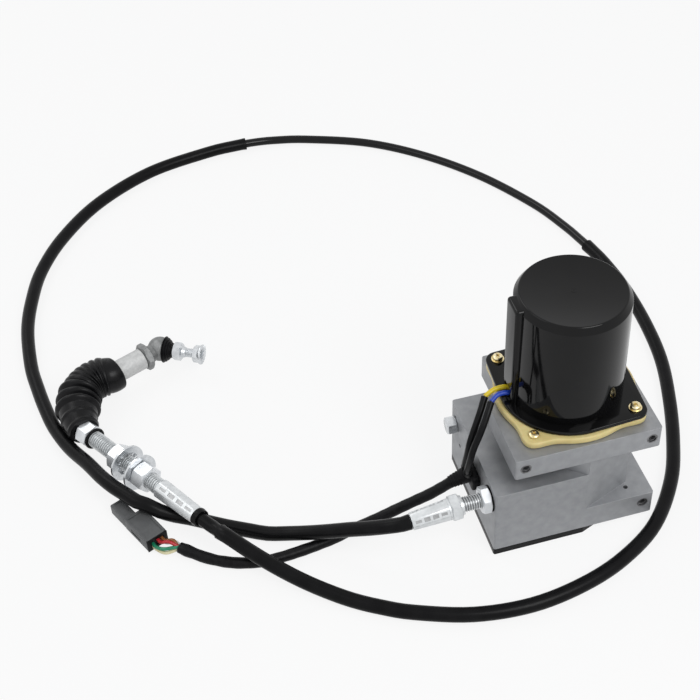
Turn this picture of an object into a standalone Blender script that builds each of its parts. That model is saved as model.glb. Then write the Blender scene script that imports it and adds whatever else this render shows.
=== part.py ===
"""Engine governor actuator: a motor and gear train in a machined housing push and pull a control cable.

Units in the driving dimensions are millimetres. The housing's own corner frame has x along its front
face, y to the back and z up from the floor; ORIGIN_X and ORIGIN_Y move that frame to the part's origin,
the middle of the actuator's footprint. The cable's floor layout is written from the part's origin.
"""
from math import acos, atan2, cos, exp, hypot, pi, radians, sin, sqrt, tan

import bmesh
import bpy
from mathutils import Matrix, Vector

MM = 0.001
GAP = 0.3

# Housing and bottom cover
housing_length = 130.0
housing_depth = 105.0
wall = 6.0
cover_thickness = 5.7
housing_floor = cover_thickness + GAP
flange_top = 28.0
housing_top = 67.0
column_top = 81.0
cavity_roof = housing_top - wall
slant_start_x = 73.0
body_right = 113.0
slant_rise = 16.0
corner_radius = 1.6

# Upper plate, which overhangs the lower housing at the front left and at the back
plate_left = 14.0
plate_right = 129.0
plate_depth = 112.0
plate_step_x = 26.0
plate_bottom = column_top + GAP
plate_thickness = 19.2
plate_top = plate_bottom + plate_thickness

# Motor on its axis, above the plate
motor_x = slant_start_x
motor_y = 56.0
screw_circle = 56.2
motor_flange_bottom = plate_top + GAP
motor_flange_thickness = 5.7
motor_flange_top = motor_flange_bottom + motor_flange_thickness
cover_bottom = motor_flange_top + GAP
cover_flange_thickness = 3.5
cover_flange_radius = 51.0
cover_ear_radius = 9.0
cover_base_radius = 43.5
cover_top_radius = 42.5
cover_top = 203.0
cover_wall = 3.0
rim_fillet = 7.0
shaft_radius = 4.0

# Gear train, module 1
module = 1.0
pressure_angle = radians(25)
backlash = 0.2
addendum = 0.9
dedendum = 1.15
motor_teeth = 12
wheel_teeth = 40
idler_teeth = 14
rack_pinion_teeth = 20
running_fit = 0.3
output_x = 41.0
output_y = 28.0
first_stage = (14.0, 24.0)
second_stage = (27.0, 36.0)
rack_stage = (46.0, 58.0)
pin_radius = 3.0
shaft_foot = 3.3
shaft_head = cavity_roof + 3.7

# Rack, which pushes the cable core out through the left wall
rack_left = 27.0
rack_right = 65.0
rack_back = 8.0
core_radius = 2.5
cable_y = 13.0
cable_z = 52.0
push_stroke = 20.0
pull_stroke = 8.0

# Cable, its sleeves and the far end
sleeve_diameter = 11.6
conduit_diameter = 8.2
harness_diameter = 9.0
lead_sleeve_diameter = 4.6
lead_wire_diameter = 2.2
stud_radius = 6.8
stud_nut_flats = 22.0
bolt_head_proud = 8.0

# The actuator's footprint, side bolt included, is centred on the origin
ORIGIN_X = (housing_length - bolt_head_proud) / 2
ORIGIN_Y = plate_depth / 2

# Looks: colour, roughness, metallic
MACHINED = ((0.50, 0.51, 0.52), 0.42, 1.0)
BLACK_PAINT = ((0.015, 0.015, 0.016), 0.25, 0.0)
BLACK_RUBBER = ((0.02, 0.02, 0.02), 0.65, 0.0)
CREAM = ((0.83, 0.72, 0.40), 0.5, 0.0)
ZINC = ((0.80, 0.81, 0.82), 0.28, 1.0)
YELLOW_ZINC = ((0.75, 0.68, 0.45), 0.3, 1.0)
STEEL = ((0.55, 0.56, 0.58), 0.35, 1.0)
BRONZE = ((0.55, 0.38, 0.20), 0.4, 1.0)
COPPER = ((0.60, 0.30, 0.15), 0.4, 1.0)
GREY_PAINT = ((0.52, 0.53, 0.54), 0.5, 0.3)
GREY_PLASTIC = ((0.13, 0.14, 0.15), 0.55, 0.0)
YELLOW = ((0.85, 0.70, 0.02), 0.45, 0.0)
BLUE = ((0.02, 0.08, 0.45), 0.45, 0.0)


# Building helpers

def from_corner(x, y, z=0.0):
    """A place in the housing's corner frame, as millimetres from the part's origin."""
    return Vector((x - ORIGIN_X, y - ORIGIN_Y, z))


def make(name, bm, look, place=(0, 0, 0), turn=None):
    """Turn a millimetre bmesh into a named object with a material of its own."""
    bmesh.ops.recalc_face_normals(bm, faces=bm.faces)
    bmesh.ops.scale(bm, vec=(MM, MM, MM), verts=bm.verts)
    mesh = bpy.data.meshes.new(name)
    bm.to_mesh(mesh)
    bm.free()
    mesh.shade_smooth()
    mesh.set_sharp_from_angle(angle=radians(35))
    obj = bpy.data.objects.new(name, mesh)
    bpy.context.collection.objects.link(obj)
    obj.location = Vector(place) * MM
    if turn is not None:
        obj.rotation_mode = "QUATERNION"
        obj.rotation_quaternion = turn
    paint(obj, look)
    return obj


def paint(obj, look):
    colour, roughness, metallic = look
    material = bpy.data.materials.new(obj.name)
    material.use_nodes = True
    shader = material.node_tree.nodes["Principled BSDF"]
    shader.inputs["Base Color"].default_value = (*colour, 1.0)
    shader.inputs["Roughness"].default_value = roughness
    shader.inputs["Metallic"].default_value = metallic
    obj.data.materials.append(material)


def boolean(target, tool, operation="DIFFERENCE"):
    tool.hide_render = True
    tool.display_type = "WIRE"
    modifier = target.modifiers.new(tool.name, "BOOLEAN")
    modifier.operation = operation
    modifier.solver = "EXACT"
    modifier.object = tool


def circle(radius, count, centre=(0.0, 0.0), start=0.0):
    turns = [start + 2 * pi * i / count for i in range(count)]
    return [(centre[0] + radius * cos(a), centre[1] + radius * sin(a)) for a in turns]


def hexagon(flats, centre=(0.0, 0.0), start=0.0):
    return circle(flats / sqrt(3), 6, centre, start)


def rounded(points, radius, steps=3):
    """An outline with each corner replaced by a short arc."""
    outline = []
    for i, corner in enumerate(points):
        here = Vector(corner)
        back = (Vector(points[i - 1]) - here).normalized()
        ahead = (Vector(points[(i + 1) % len(points)]) - here).normalized()
        half = back.angle(ahead) / 2
        reach = radius / tan(half)
        centre = here + (back + ahead).normalized() * (radius / sin(half))
        first = here + back * reach - centre
        last = here + ahead * reach - centre
        sweep = first.angle_signed(last)
        for k in range(steps + 1):
            spoke = first.copy()
            spoke.rotate(Matrix.Rotation(-sweep * k / steps, 2))
            outline.append(tuple(centre + spoke))
    return outline


def prism(bm, outline, z0, z1, holes=()):
    """Extrude an outline, with through holes where given, from z0 to z1."""
    edges = []
    loops = [outline, *holes]
    for loop in loops:
        ring = [bm.verts.new((x, y, z0)) for x, y in loop]
        edges += [bm.edges.new((ring[i - 1], ring[i])) for i in range(len(ring))]
    if holes:
        made = bmesh.ops.triangle_fill(bm, use_beauty=True, use_dissolve=False, edges=edges)
        faces = [item for item in made["geom"] if isinstance(item, bmesh.types.BMFace)]
    else:
        faces = [bm.faces.new(ring)]
    lifted = bmesh.ops.extrude_face_region(bm, geom=faces)
    top = [item for item in lifted["geom"] if isinstance(item, bmesh.types.BMVert)]
    bmesh.ops.translate(bm, vec=(0, 0, z1 - z0), verts=top)


def turned(bm, profile, count=24, matrix=None):
    """Revolve a profile of (radius, z) about Z: a closed loop, or a chain from axis to axis."""
    rings = []
    for radius, z in profile:
        if radius == 0:
            rings.append([bm.verts.new((0, 0, z))])
        else:
            rings.append([bm.verts.new((x, y, z)) for x, y in circle(radius, count)])
    chain = profile[0][0] == 0
    pairs = list(zip(rings, rings[1:])) + ([] if chain else [(rings[-1], rings[0])])
    for lower, upper in pairs:
        if len(lower) == len(upper) == 1:
            continue
        for i in range(count):
            below = [lower[0]] if len(lower) == 1 else [lower[i - 1], lower[i]]
            above = [upper[0]] if len(upper) == 1 else [upper[i], upper[i - 1]]
            bm.faces.new(below + above)
    if matrix is not None:
        made = [vert for ring in rings for vert in ring]
        bmesh.ops.transform(bm, matrix=matrix, verts=made)


def rod(bm, start, end, radius, count=12):
    """A plain cylinder between two places."""
    start = Vector(start)
    way = Vector(end) - start
    matrix = Matrix.Translation(start) @ facing(way).to_matrix().to_4x4()
    turned(bm, [(0, 0), (radius, 0), (radius, way.length), (0, way.length)], count, matrix)


def facing(direction):
    """The turn that takes +Z to a direction."""
    return Vector(direction).to_track_quat("Z", "Y")


def box(bm, low, high):
    prism(bm, [(low[0], low[1]), (high[0], low[1]), (high[0], high[1]), (low[0], high[1])], low[2], high[2])


def smooth_route(points, step):
    """Points about one step apart on a Catmull-Rom curve through the route's own points."""
    ends = [2 * points[0] - points[1], *points, 2 * points[-1] - points[-2]]
    route = [points[0]]
    for a, b, c, d in zip(ends, ends[1:], ends[2:], ends[3:]):
        count = max(1, round((c - b).length / step))
        for k in range(1, count + 1):
            t = k / count
            bend = (2 * a - 5 * b + 4 * c - d) * t * t + (3 * b - a - 3 * c + d) * t ** 3
            route.append((2 * b + (c - a) * t + bend) / 2)
    return route


def tube(name, points, diameter, look, resolution=3):
    curve = bpy.data.curves.new(name, "CURVE")
    curve.dimensions = "3D"
    curve.bevel_depth = diameter / 2 * MM
    curve.bevel_resolution = resolution
    curve.use_fill_caps = True
    spline = curve.splines.new("POLY")
    spline.points.add(len(points) - 1)
    for knot, point in zip(spline.points, points):
        knot.co = (*(point * MM), 1.0)
    obj = bpy.data.objects.new(name, curve)
    bpy.context.collection.objects.link(obj)
    paint(obj, look)
    return obj


# Housing, bottom cover and upper plate

cover_screws = [(11.0, 34.0), (11.0, 94.0), (102.0, 94.0), (89.0, 18.0)]
plate_screws = [(100.0, 32.0), (100.0, 88.0), (55.0, 88.0), (57.0, 42.0)]
body_outline = [(0, 0), (slant_start_x, 0), (body_right, slant_rise), (body_right, housing_depth),
                (0, housing_depth)]
cover_screw_radius = 1.6
plate_screw_radius = 2.5
hub_bore_radius = 6.3
bolt_y, bolt_z, bolt_radius = 95.0, 50.0, 3.7
boot_y, boot_z = 46.5, 44.5
grommet_radius = 5.0


def idler_centre():
    """Where the idler pin stands: in mesh with the motor pinion and with the output wheel."""
    to_motor = module * (motor_teeth + wheel_teeth) / 2
    to_output = module * (idler_teeth + wheel_teeth) / 2
    span = hypot(motor_x - output_x, motor_y - output_y)
    along = (to_output ** 2 - to_motor ** 2 + span ** 2) / (2 * span)
    aside = sqrt(to_output ** 2 - along ** 2)
    ux, uy = (motor_x - output_x) / span, (motor_y - output_y) / span
    return output_x + ux * along - uy * aside, output_y + uy * along + ux * aside


idler_x, idler_y = idler_centre()


def lower_housing():
    """One machined block: flange, tall body with a slanted corner, and the column under the plate."""
    block = bmesh.new()
    corners = [(0, 0), (housing_length, 0), (housing_length, housing_depth), (0, housing_depth)]
    prism(block, rounded(corners, corner_radius), housing_floor, column_top)
    body = make("lower_housing", block, MACHINED, from_corner(0, 0))

    beyond = 5.0
    slope = (body_right - slant_start_x) / slant_rise
    step = bmesh.new()
    prism(step, [(slant_start_x - beyond * slope, -beyond), (body_right, slant_rise),
                 (body_right, housing_depth + beyond), (housing_length + beyond, housing_depth + beyond),
                 (housing_length + beyond, -beyond)], flange_top, column_top + beyond)
    boolean(body, make("cut_flange_step", step, MACHINED, from_corner(0, 0)))

    shoulder = bmesh.new()
    prism(shoulder, [(-beyond, -beyond), (slant_start_x, -beyond), (slant_start_x, 14), (45, 38),
                     (45, housing_depth + beyond), (-beyond, housing_depth + beyond)],
          housing_top, column_top + beyond)
    boolean(body, make("cut_shoulder", shoulder, MACHINED, from_corner(0, 0)))

    right = body_right - wall
    back = housing_depth - wall
    boss = 10.0
    cavity = bmesh.new()
    prism(cavity, [(wall, wall), (70, wall), (81, 10.4), (81, 24), (97, 24), (97, 16.8), (right, 20.8),
                   (right, back - boss), (right - boss, back - boss), (right - boss, back),
                   (wall + boss, back), (wall + boss, back - boss), (wall, back - boss),
                   (wall, 39), (wall + boss, 39), (wall + boss, 29), (wall, 29)],
          housing_floor - beyond, cavity_roof)
    boolean(body, make("cut_cavity", cavity, MACHINED, from_corner(0, 0)))

    bores = bmesh.new()
    bearing_top = shaft_head + GAP
    rod(bores, (motor_x, motor_y, cavity_roof - beyond), (motor_x, motor_y, column_top + beyond), 8.0, 16)
    for x, y, radius in ((output_x, output_y, shaft_radius), (idler_x, idler_y, pin_radius)):
        rod(bores, (x, y, cavity_roof - 2), (x, y, bearing_top), radius + running_fit)
    for x, y in cover_screws:
        rod(bores, (x, y, housing_floor - 2), (x, y, housing_floor + 14), cover_screw_radius + GAP, 8)
    for x, y in plate_screws:
        rod(bores, (x, y, column_top - 12), (x, y, column_top + 2), plate_screw_radius + GAP, 8)
    rod(bores, (-beyond, cable_y, cable_z), (wall + 2, cable_y, cable_z), hub_bore_radius, 16)
    rod(bores, (-beyond, boot_y, boot_z), (wall + 2, boot_y, boot_z), grommet_radius + GAP)
    rod(bores, (-beyond, bolt_y, bolt_z), (14, bolt_y, bolt_z), bolt_radius + GAP)
    rod(bores, (121.5, -beyond, 18.5), (121.5, 16, 18.5), 3.4)
    rod(bores, (111, 11, flange_top - 12), (111, 11, flange_top + 4), 1.9, 8)
    rod(bores, (-beyond, 84, 36), (4, 84, 36), 1.8, 8)
    boolean(body, make("cut_housing_bores", bores, MACHINED, from_corner(0, 0)))


def bottom_cover():
    plate = bmesh.new()
    prism(plate, rounded(body_outline, corner_radius), 0, cover_thickness)
    cover = make("bottom_cover", plate, BLACK_PAINT, from_corner(0, 0))

    boss_top = 12.0
    bosses = bmesh.new()
    for x, y in ((output_x, output_y), (idler_x, idler_y), (motor_x, motor_y)):
        prism(bosses, circle(7, 16, (x, y)), cover_thickness - 2, boss_top)
    boolean(cover, make("add_bosses", bosses, BLACK_PAINT, from_corner(0, 0)), "UNION")

    bores = bmesh.new()
    floor = shaft_foot - GAP
    for x, y, radius in ((output_x, output_y, shaft_radius), (idler_x, idler_y, pin_radius),
                         (motor_x, motor_y, pin_radius)):
        rod(bores, (x, y, floor), (x, y, boss_top + 2), radius + running_fit)
    head_depth = 3.0
    for x, y in cover_screws:
        profile = [(0, -2), (4.0, -2), (4.0, head_depth), (2.1, head_depth), (2.1, 8), (0, 8)]
        turned(bores, profile, 12, Matrix.Translation((x, y, 0)))
    boolean(cover, make("cut_cover_bores", bores, BLACK_PAINT, from_corner(0, 0)))

    for i, (x, y) in enumerate(cover_screws):
        screw = bmesh.new()
        turned(screw, [(0, 0.9), (1.2, 0.9), (1.2, 0.2), (3.4, 0.2), (3.6, 0.9), (3.6, 2.7),
                       (cover_screw_radius, 2.7), (cover_screw_radius, 18), (0, 18)], 10)
        make(f"bottom_cover_screw_{i + 1}", screw, ZINC, from_corner(x, y))


def upper_plate():
    outline = [(plate_left, 0), (plate_right, 0), (plate_right, plate_depth), (plate_step_x, plate_depth),
               (plate_step_x, 74), (plate_left, 58)]
    plate = bmesh.new()
    prism(plate, rounded(outline, 2.0), plate_bottom, plate_top)
    obj = make("upper_plate", plate, MACHINED, from_corner(0, 0))
    cuts = bmesh.new()
    rod(cuts, (motor_x, motor_y, plate_bottom - 2), (motor_x, motor_y, plate_top + 2), 12, 20)
    head_bottom = plate_top - 6.0
    for x, y in plate_screws:
        profile = [(0, plate_bottom - 2), (2.9, plate_bottom - 2), (2.9, head_bottom), (4.9, head_bottom),
                   (4.9, plate_top + 2), (0, plate_top + 2)]
        turned(cuts, profile, 12, Matrix.Translation((x, y, 0)))
    for x, y in corner_screws():
        rod(cuts, (x, y, plate_top - 13), (x, y, plate_top + 2), 2.2, 8)
    for x in (22.0, 121.5):
        rod(cuts, (x, -3, 91), (x, 15, 91), 3.4)
    boolean(obj, make("cut_plate_bores", cuts, MACHINED, from_corner(0, 0)))
    for i, (x, y) in enumerate(plate_screws):
        screw = bmesh.new()
        head = head_bottom + GAP
        turned(screw, [(0, column_top - 11), (plate_screw_radius, column_top - 11), (plate_screw_radius, head),
                       (4.25, head), (4.25, head + 5), (2.2, head + 5), (2.2, head + 2.5), (0, head + 2.5)], 10)
        make(f"plate_screw_{i + 1}", screw, STEEL, from_corner(x, y))


# Motor, its flange and cover

def corner_screws():
    """The four flange screws, from the front left round by the front right."""
    reach = screw_circle / sqrt(2)
    return [(motor_x + sx * reach, motor_y + sy * reach) for sx, sy in ((-1, -1), (1, -1), (1, 1), (-1, 1))]


def motor_flange():
    """A cast ring with four soft ears on the diagonals."""
    rim, ear, ear_width = 54.0, 11.0, radians(11.5)
    outline = []
    for i in range(64):
        angle = 2 * pi * i / 64
        off = (angle % (pi / 2)) - pi / 4
        radius = rim + ear * exp(-(off / ear_width) ** 2)
        outline.append((motor_x + radius * cos(angle), motor_y + radius * sin(angle)))
    holes = [circle(2.2, 8, centre) for centre in corner_screws()]
    holes.append(circle(10.0, 20, (motor_x, motor_y)))
    flange = bmesh.new()
    prism(flange, outline, motor_flange_bottom, motor_flange_top, holes)
    make("motor_flange", flange, CREAM, from_corner(0, 0))


def motor_cover():
    """A moulded bell on a flange with two ears, and a wire channel down its left side."""
    axis = Vector((motor_x, motor_y, 0))
    flange_top_z = cover_bottom + cover_flange_thickness
    rim_outer = cover_top_radius
    bell = [(0, cover_bottom), (cover_base_radius, cover_bottom), (cover_base_radius, flange_top_z)]
    for k in range(5):
        lift = pi / 2 * k / 4
        bell.append((rim_outer - rim_fillet + rim_fillet * cos(lift), cover_top - rim_fillet + rim_fillet * sin(lift)))
    bell.append((0, cover_top))
    shell = bmesh.new()
    turned(shell, bell, 36, Matrix.Translation(axis))
    cover = make("motor_cover", shell, BLACK_PAINT, from_corner(0, 0))

    screws = corner_screws()
    outline = []
    tangent = acos((cover_flange_radius - cover_ear_radius) / screw_circle)
    for ear, middle in ((screws[1], -pi / 4), (screws[3], 3 * pi / 4)):
        for k in range(7):
            angle = middle - tangent + 2 * tangent * k / 6
            outline.append((ear[0] + cover_ear_radius * cos(angle), ear[1] + cover_ear_radius * sin(angle)))
        sweep = pi - 2 * tangent
        for k in range(13):
            angle = middle + tangent + sweep * k / 12
            outline.append((motor_x + cover_flange_radius * cos(angle),
                            motor_y + cover_flange_radius * sin(angle)))
    flange = bmesh.new()
    prism(flange, outline, cover_bottom, flange_top_z)
    boolean(cover, make("add_cover_flange", flange, BLACK_PAINT, from_corner(0, 0)), "UNION")

    channel = bmesh.new()
    channel_top = cover_top - 2.2
    box(channel, (26.8, 47, cover_bottom + 0.5), (36, 67, channel_top))
    boolean(cover, make("add_wire_channel", channel, BLACK_PAINT, from_corner(0, 0)), "UNION")

    inside = bmesh.new()
    inner = cover_top_radius - cover_wall
    turned(inside, [(0, cover_bottom - 3), (inner, cover_bottom - 3), (inner, cover_top - 9),
                    (inner - 5, cover_top - cover_wall), (0, cover_top - cover_wall)], 28,
           Matrix.Translation(axis))
    boolean(cover, make("cut_cover_inside", inside, BLACK_PAINT, from_corner(0, 0)))

    passage = bmesh.new()
    box(passage, (29, 50, flange_top_z + 0.5), (38, 64, channel_top - 3))
    boolean(cover, make("cut_wire_passage", passage, BLACK_PAINT, from_corner(0, 0)))

    mouth = bmesh.new()
    box(mouth, (23, 51, flange_top_z + 1.5), (31, 63, flange_top_z + 12))
    boolean(cover, make("cut_channel_mouth", mouth, BLACK_PAINT, from_corner(0, 0)))

    holes = bmesh.new()
    for x, y in (screws[1], screws[3]):
        rod(holes, (x, y, cover_bottom - 2), (x, y, flange_top_z + 2), 2.4, 8)
    boolean(cover, make("cut_cover_holes", holes, BLACK_PAINT, from_corner(0, 0)))


def flange_fasteners():
    """Pan head screws: two hold the cover's ears, with a washer, and two hold the cream flange."""
    screws = corner_screws()
    ear_top = cover_bottom + cover_flange_thickness
    for i, (x, y) in enumerate((screws[1], screws[3])):
        seat = ear_top + GAP
        bm = bmesh.new()
        turned(bm, [(0, plate_top - 11), (1.9, plate_top - 10), (1.9, seat), (5.0, seat), (5.0, seat + 1),
                    (4.0, seat + 1), (3.9, seat + 2.6), (2.9, seat + 3.6), (0, seat + 3.9)], 12)
        make(f"cover_screw_{i + 1}", bm, YELLOW_ZINC, from_corner(x, y))
    for i, (x, y) in enumerate((screws[0], screws[2])):
        seat = motor_flange_top + GAP
        bm = bmesh.new()
        turned(bm, [(0, plate_top - 11), (1.9, plate_top - 10), (1.9, seat), (4.0, seat),
                    (3.9, seat + 2), (2.9, seat + 3), (0, seat + 3.3)], 12)
        make(f"flange_screw_{i + 1}", bm, YELLOW_ZINC, from_corner(x, y))


stator_bottom = cover_bottom + 6.0
stator_top = 178.0
inner_radius = cover_top_radius - cover_wall - GAP


def motor_inside():
    place = from_corner(motor_x, motor_y)
    stator = bmesh.new()
    turned(stator, [(23.5, stator_bottom), (inner_radius, stator_bottom), (inner_radius, stator_top),
                    (23.5, stator_top)], 28)
    make("motor_stator", stator, STEEL, place)

    bell_floor = stator_top + GAP
    bell = bmesh.new()
    turned(bell, [(9.7, bell_floor), (inner_radius, bell_floor), (inner_radius, bell_floor + 8),
                  (9.7, bell_floor + 8)], 28)
    make("motor_end_bell", bell, GREY_PLASTIC, place)

    for name, low in (("lower_bearing", motor_flange_bottom + 0.2), ("upper_bearing", bell_floor + 1)):
        bearing = bmesh.new()
        outer = 9.4
        bore = shaft_radius + GAP
        turned(bearing, [(bore, low), (outer, low), (outer, low + 5), (bore, low + 5)], 16)
        make(name, bearing, STEEL, place)

    core = bmesh.new()
    bore = shaft_radius + GAP
    turned(core, [(bore, stator_bottom + 5), (22.5, stator_bottom + 5), (22.5, stator_top - 5),
                  (bore, stator_top - 5)], 24)
    make("rotor_core", core, COPPER, place)

    shaft = bmesh.new()
    shoulder = second_stage[0]
    turned(shaft, [(0, 5), (pin_radius, 5), (pin_radius, shoulder), (shaft_radius, shoulder),
                   (shaft_radius, bell_floor + 7.5), (0, bell_floor + 7.5)], 12)
    make("rotor_shaft", shaft, STEEL, place)


# Gear train

def gear_outline(teeth, start):
    """Involute teeth, two points to a flank on the wheels and three on the pinions.

    A tooth's middle is at the start angle.
    """
    pitch = module * teeth / 2
    base = pitch * cos(pressure_angle)
    half = pi / (2 * teeth) - backlash / (4 * pitch)
    involute = tan(pressure_angle) - pressure_angle

    def half_width(radius):
        angle = acos(min(1.0, base / radius))
        return half + involute - (tan(angle) - angle)

    radii = [pitch - dedendum * module, pitch, pitch + addendum * module]
    if teeth == wheel_teeth:
        radii.remove(pitch)
    points = []
    for i in range(teeth):
        middle = start + 2 * pi * i / teeth
        for radius in radii:
            points.append((radius, middle - half_width(radius)))
        for radius in reversed(radii):
            points.append((radius, middle + half_width(radius)))
    return [(radius * cos(a), radius * sin(a)) for radius, a in points]


def gear(name, teeth, bore, levels, start, place, look):
    bm = bmesh.new()
    prism(bm, gear_outline(teeth, start), levels[0], levels[1], [circle(bore + GAP, 12)])
    return make(name, bm, look, place)


def gear_train():
    motor = from_corner(motor_x, motor_y)
    idler = from_corner(idler_x, idler_y)
    output = from_corner(output_x, output_y)
    to_idler = idler - motor
    to_output = output - idler
    mesh_one = atan2(to_idler.y, to_idler.x)
    mesh_two = atan2(to_output.y, to_output.x)
    gear("motor_pinion", motor_teeth, pin_radius, first_stage, mesh_one, motor, STEEL)
    gear("intermediate_gear", wheel_teeth, pin_radius, first_stage, mesh_one + pi + pi / wheel_teeth, idler,
         BRONZE)
    gear("intermediate_pinion", idler_teeth, pin_radius, second_stage, mesh_two, idler, STEEL)
    gear("output_gear", wheel_teeth, shaft_radius, second_stage, mesh_two + pi + pi / wheel_teeth, output,
         BRONZE)
    gear("output_pinion", rack_pinion_teeth, shaft_radius, rack_stage, -pi / 2, output, STEEL)

    pin = bmesh.new()
    turned(pin, [(0, shaft_foot), (pin_radius, shaft_foot), (pin_radius, shaft_head), (0, shaft_head)], 12)
    make("intermediate_pin", pin, STEEL, idler)
    shaft = bmesh.new()
    turned(shaft, [(0, shaft_foot), (shaft_radius, shaft_foot), (shaft_radius, shaft_head), (0, shaft_head)], 12)
    make("output_shaft", shaft, STEEL, output)


def rack():
    """The rack bar with the cable's core rod on its left end and the sensor's wiper under it."""
    pitch_line = output_y - module * rack_pinion_teeth / 2
    pitch = pi * module
    tip = pitch_line + addendum * module
    root = pitch_line - dedendum * module
    half = pitch / 4 - backlash / 4
    lean = tan(pressure_angle)
    teeth = int((rack_right - rack_left) / pitch) - 1
    first = output_x - pitch / 2 - pitch * int((output_x - rack_left) / pitch - 0.6)
    outline = [(rack_right, rack_back), (rack_right, root)]
    for i in reversed(range(teeth)):
        middle = first + pitch * i
        for side in (1, -1):
            low = (middle + side * (half + lean * dedendum * module), root)
            high = (middle + side * (half - lean * addendum * module), tip)
            outline += [low, high] if side == 1 else [high, low]
    outline += [(rack_left, root), (rack_left, rack_back)]
    bar = bmesh.new()
    prism(bar, outline, *rack_stage)
    obj = make("rack", bar, STEEL, from_corner(0, 0))
    extras = bmesh.new()
    rod(extras, (rack_left + 4, cable_y, cable_z), (-7, cable_y, cable_z), core_radius)
    rod(extras, (50, 12.5, rack_stage[0] + 3), (50, 12.5, rack_stage[0] - 3.5), 1.0, 10)
    boolean(obj, make("add_core_and_wiper", extras, STEEL, from_corner(0, 0)), "UNION")

    sensor = bmesh.new()
    box(sensor, (9, wall + GAP, 38), (69.5, 17, rack_stage[0] - GAP))
    body = make("position_sensor", sensor, GREY_PLASTIC, from_corner(0, 0))
    slot = bmesh.new()
    box(slot, (26, 11, 41.5), (63, 14, 48))
    boolean(body, make("cut_sensor_slot", slot, GREY_PLASTIC, from_corner(0, 0)))


# Left side: bolt, boot, hub and nut

def left_side():
    bolt = bmesh.new()
    seat = -GAP
    prism(bolt, hexagon(13, start=pi / 6), -bolt_head_proud + 1.2, seat)
    head = make("side_bolt", bolt, ZINC, from_corner(0, bolt_y, bolt_z), facing((1, 0, 0)))
    shank = bmesh.new()
    turned(shank, [(0, -bolt_head_proud), (4.6, -bolt_head_proud), (5.9, -bolt_head_proud + 1.2),
                   (5.9, -bolt_head_proud + 3), (bolt_radius, -bolt_head_proud + 3), (bolt_radius, 12), (0, 13)])
    tool = make("add_bolt_shank", shank, ZINC, from_corner(0, bolt_y, bolt_z), facing((1, 0, 0)))
    boolean(head, tool, "UNION")

    boot = bmesh.new()
    block = rounded([(-13, -7), (13, -7), (13, 7), (-13, 7)], 4.0)
    prism(boot, block, -6.5, -GAP)
    obj = make("harness_boot", boot, BLACK_RUBBER, from_corner(0, boot_y, boot_z), side_turn())
    stem = bmesh.new()
    rod(stem, (0, 0, -3), (0, 0, wall - 1), grommet_radius)
    boolean(obj, make("add_boot_stem", stem, BLACK_RUBBER, from_corner(0, boot_y, boot_z), side_turn()),
            "UNION")


def side_turn():
    """Local X along the housing's depth, local Z into its left face."""
    return Matrix(((0, 0, 1), (1, 0, 0), (0, 1, 0))).to_quaternion()


nut_thickness = 8.0
hub_exit = Vector((-62.0, 12.5, 48.0))


def near_hub():
    """A threaded stub through the wall, a hex, and the crimped sleeve on the cable's end."""
    nut = bmesh.new()
    prism(nut, hexagon(19, start=pi / 6), -nut_thickness, -GAP, [circle(hub_bore_radius, 20)])
    make("jam_nut", nut, ZINC, from_corner(0, cable_y, cable_z), side_turn())

    stub = bmesh.new()
    rod(stub, from_corner(wall - 0.3, cable_y, cable_z), from_corner(-28, cable_y, cable_z), hub_bore_radius - GAP,
        20)
    hub = make("near_hub", stub, ZINC)
    knee = from_corner(-23, cable_y, cable_z)
    way = from_corner(*hub_exit) - knee
    crimp = bmesh.new()
    turned(crimp, [(0, 0), (7.8, 0), (8.6, 3), (6.9, way.length), (0, way.length)], 20)
    boolean(hub, make("add_crimp", crimp, ZINC, knee, facing(way)), "UNION")
    collar = bmesh.new()
    prism(collar, hexagon(19, start=pi / 6), 1, 8.5)
    boolean(hub, make("add_hub_hex", collar, ZINC, knee, facing(way)), "UNION")
    bore = bmesh.new()
    rod(bore, from_corner(wall + 2, cable_y, cable_z), from_corner(-45, cable_y, cable_z), core_radius + 0.9, 12)
    boolean(hub, make("cut_core_bore", bore, ZINC))


# Cable, harness and motor lead, by their floor layout

near_route = [(-123.5, -43.5, 48), (-129.5, -43.4, 47.2), (-139, -39.5, 43.9), (-151, -31.5, 36.8), (-164, -22, 29), (-178, -13, 21.5),
              (-192, -4, 14.5), (-206, 4, 9.5), (-222, 11, 7), (-235, 19, 6.2), (-252, 29, 6.2),
              (-266, 38, 6.6), (-277, 44, 8), (-287, 48, 10), (-297.5, 51.8, 14.6), (-306.5, 57.3, 19.4),
              (-313, 62, 20.2), (-319.5, 71, 20.3), (-327.5, 82, 20), (-335.5, 97, 18.4), (-344, 118, 14.8),
              (-356, 145, 9.5), (-365, 173, 6.6), (-370, 199, 6), (-373.5, 225, 6), (-376, 255, 6),
              (-374, 302, 6), (-366, 342, 6), (-353, 381, 6), (-328, 424, 6), (-288, 468, 6),
              (-232, 503, 6), (-171, 519, 6), (-141, 522, 6), (-130, 522.3, 6)]
conduit_route = [(-129.4, 522.3, 6), (-118, 522.3, 5.7), (-100, 520.8, 5), (-68, 513, 4.6), (-10, 488, 4.6), (40, 449, 4.6),
                 (84, 398, 4.6), (119, 339, 4.6), (135, 297, 5.2), (141.4, 273.5, 5.8), (144, 263, 6)]
far_route = [(144.15, 262.4, 6), (146.6, 252.5, 6), (150.5, 232, 6), (154, 194, 6), (153, 146, 6), (147, 98, 6), (134, 52, 6),
             (117.5, 8, 6), (97.5, -32, 6), (66.5, -70, 6), (30, -93.5, 6), (-8, -107, 6), (-51, -113, 6),
             (-95, -108, 6), (-136, -93, 6), (-158, -81, 6), (-176, -69, 6.2), (-193, -55, 7), (-209, -41, 9.4),
             (-225, -26, 13.6), (-240, -11, 19), (-253, 4, 23.2), (-262.5, 15.5, 25.2), (-270.2, 27.4, 25.6)]
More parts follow.
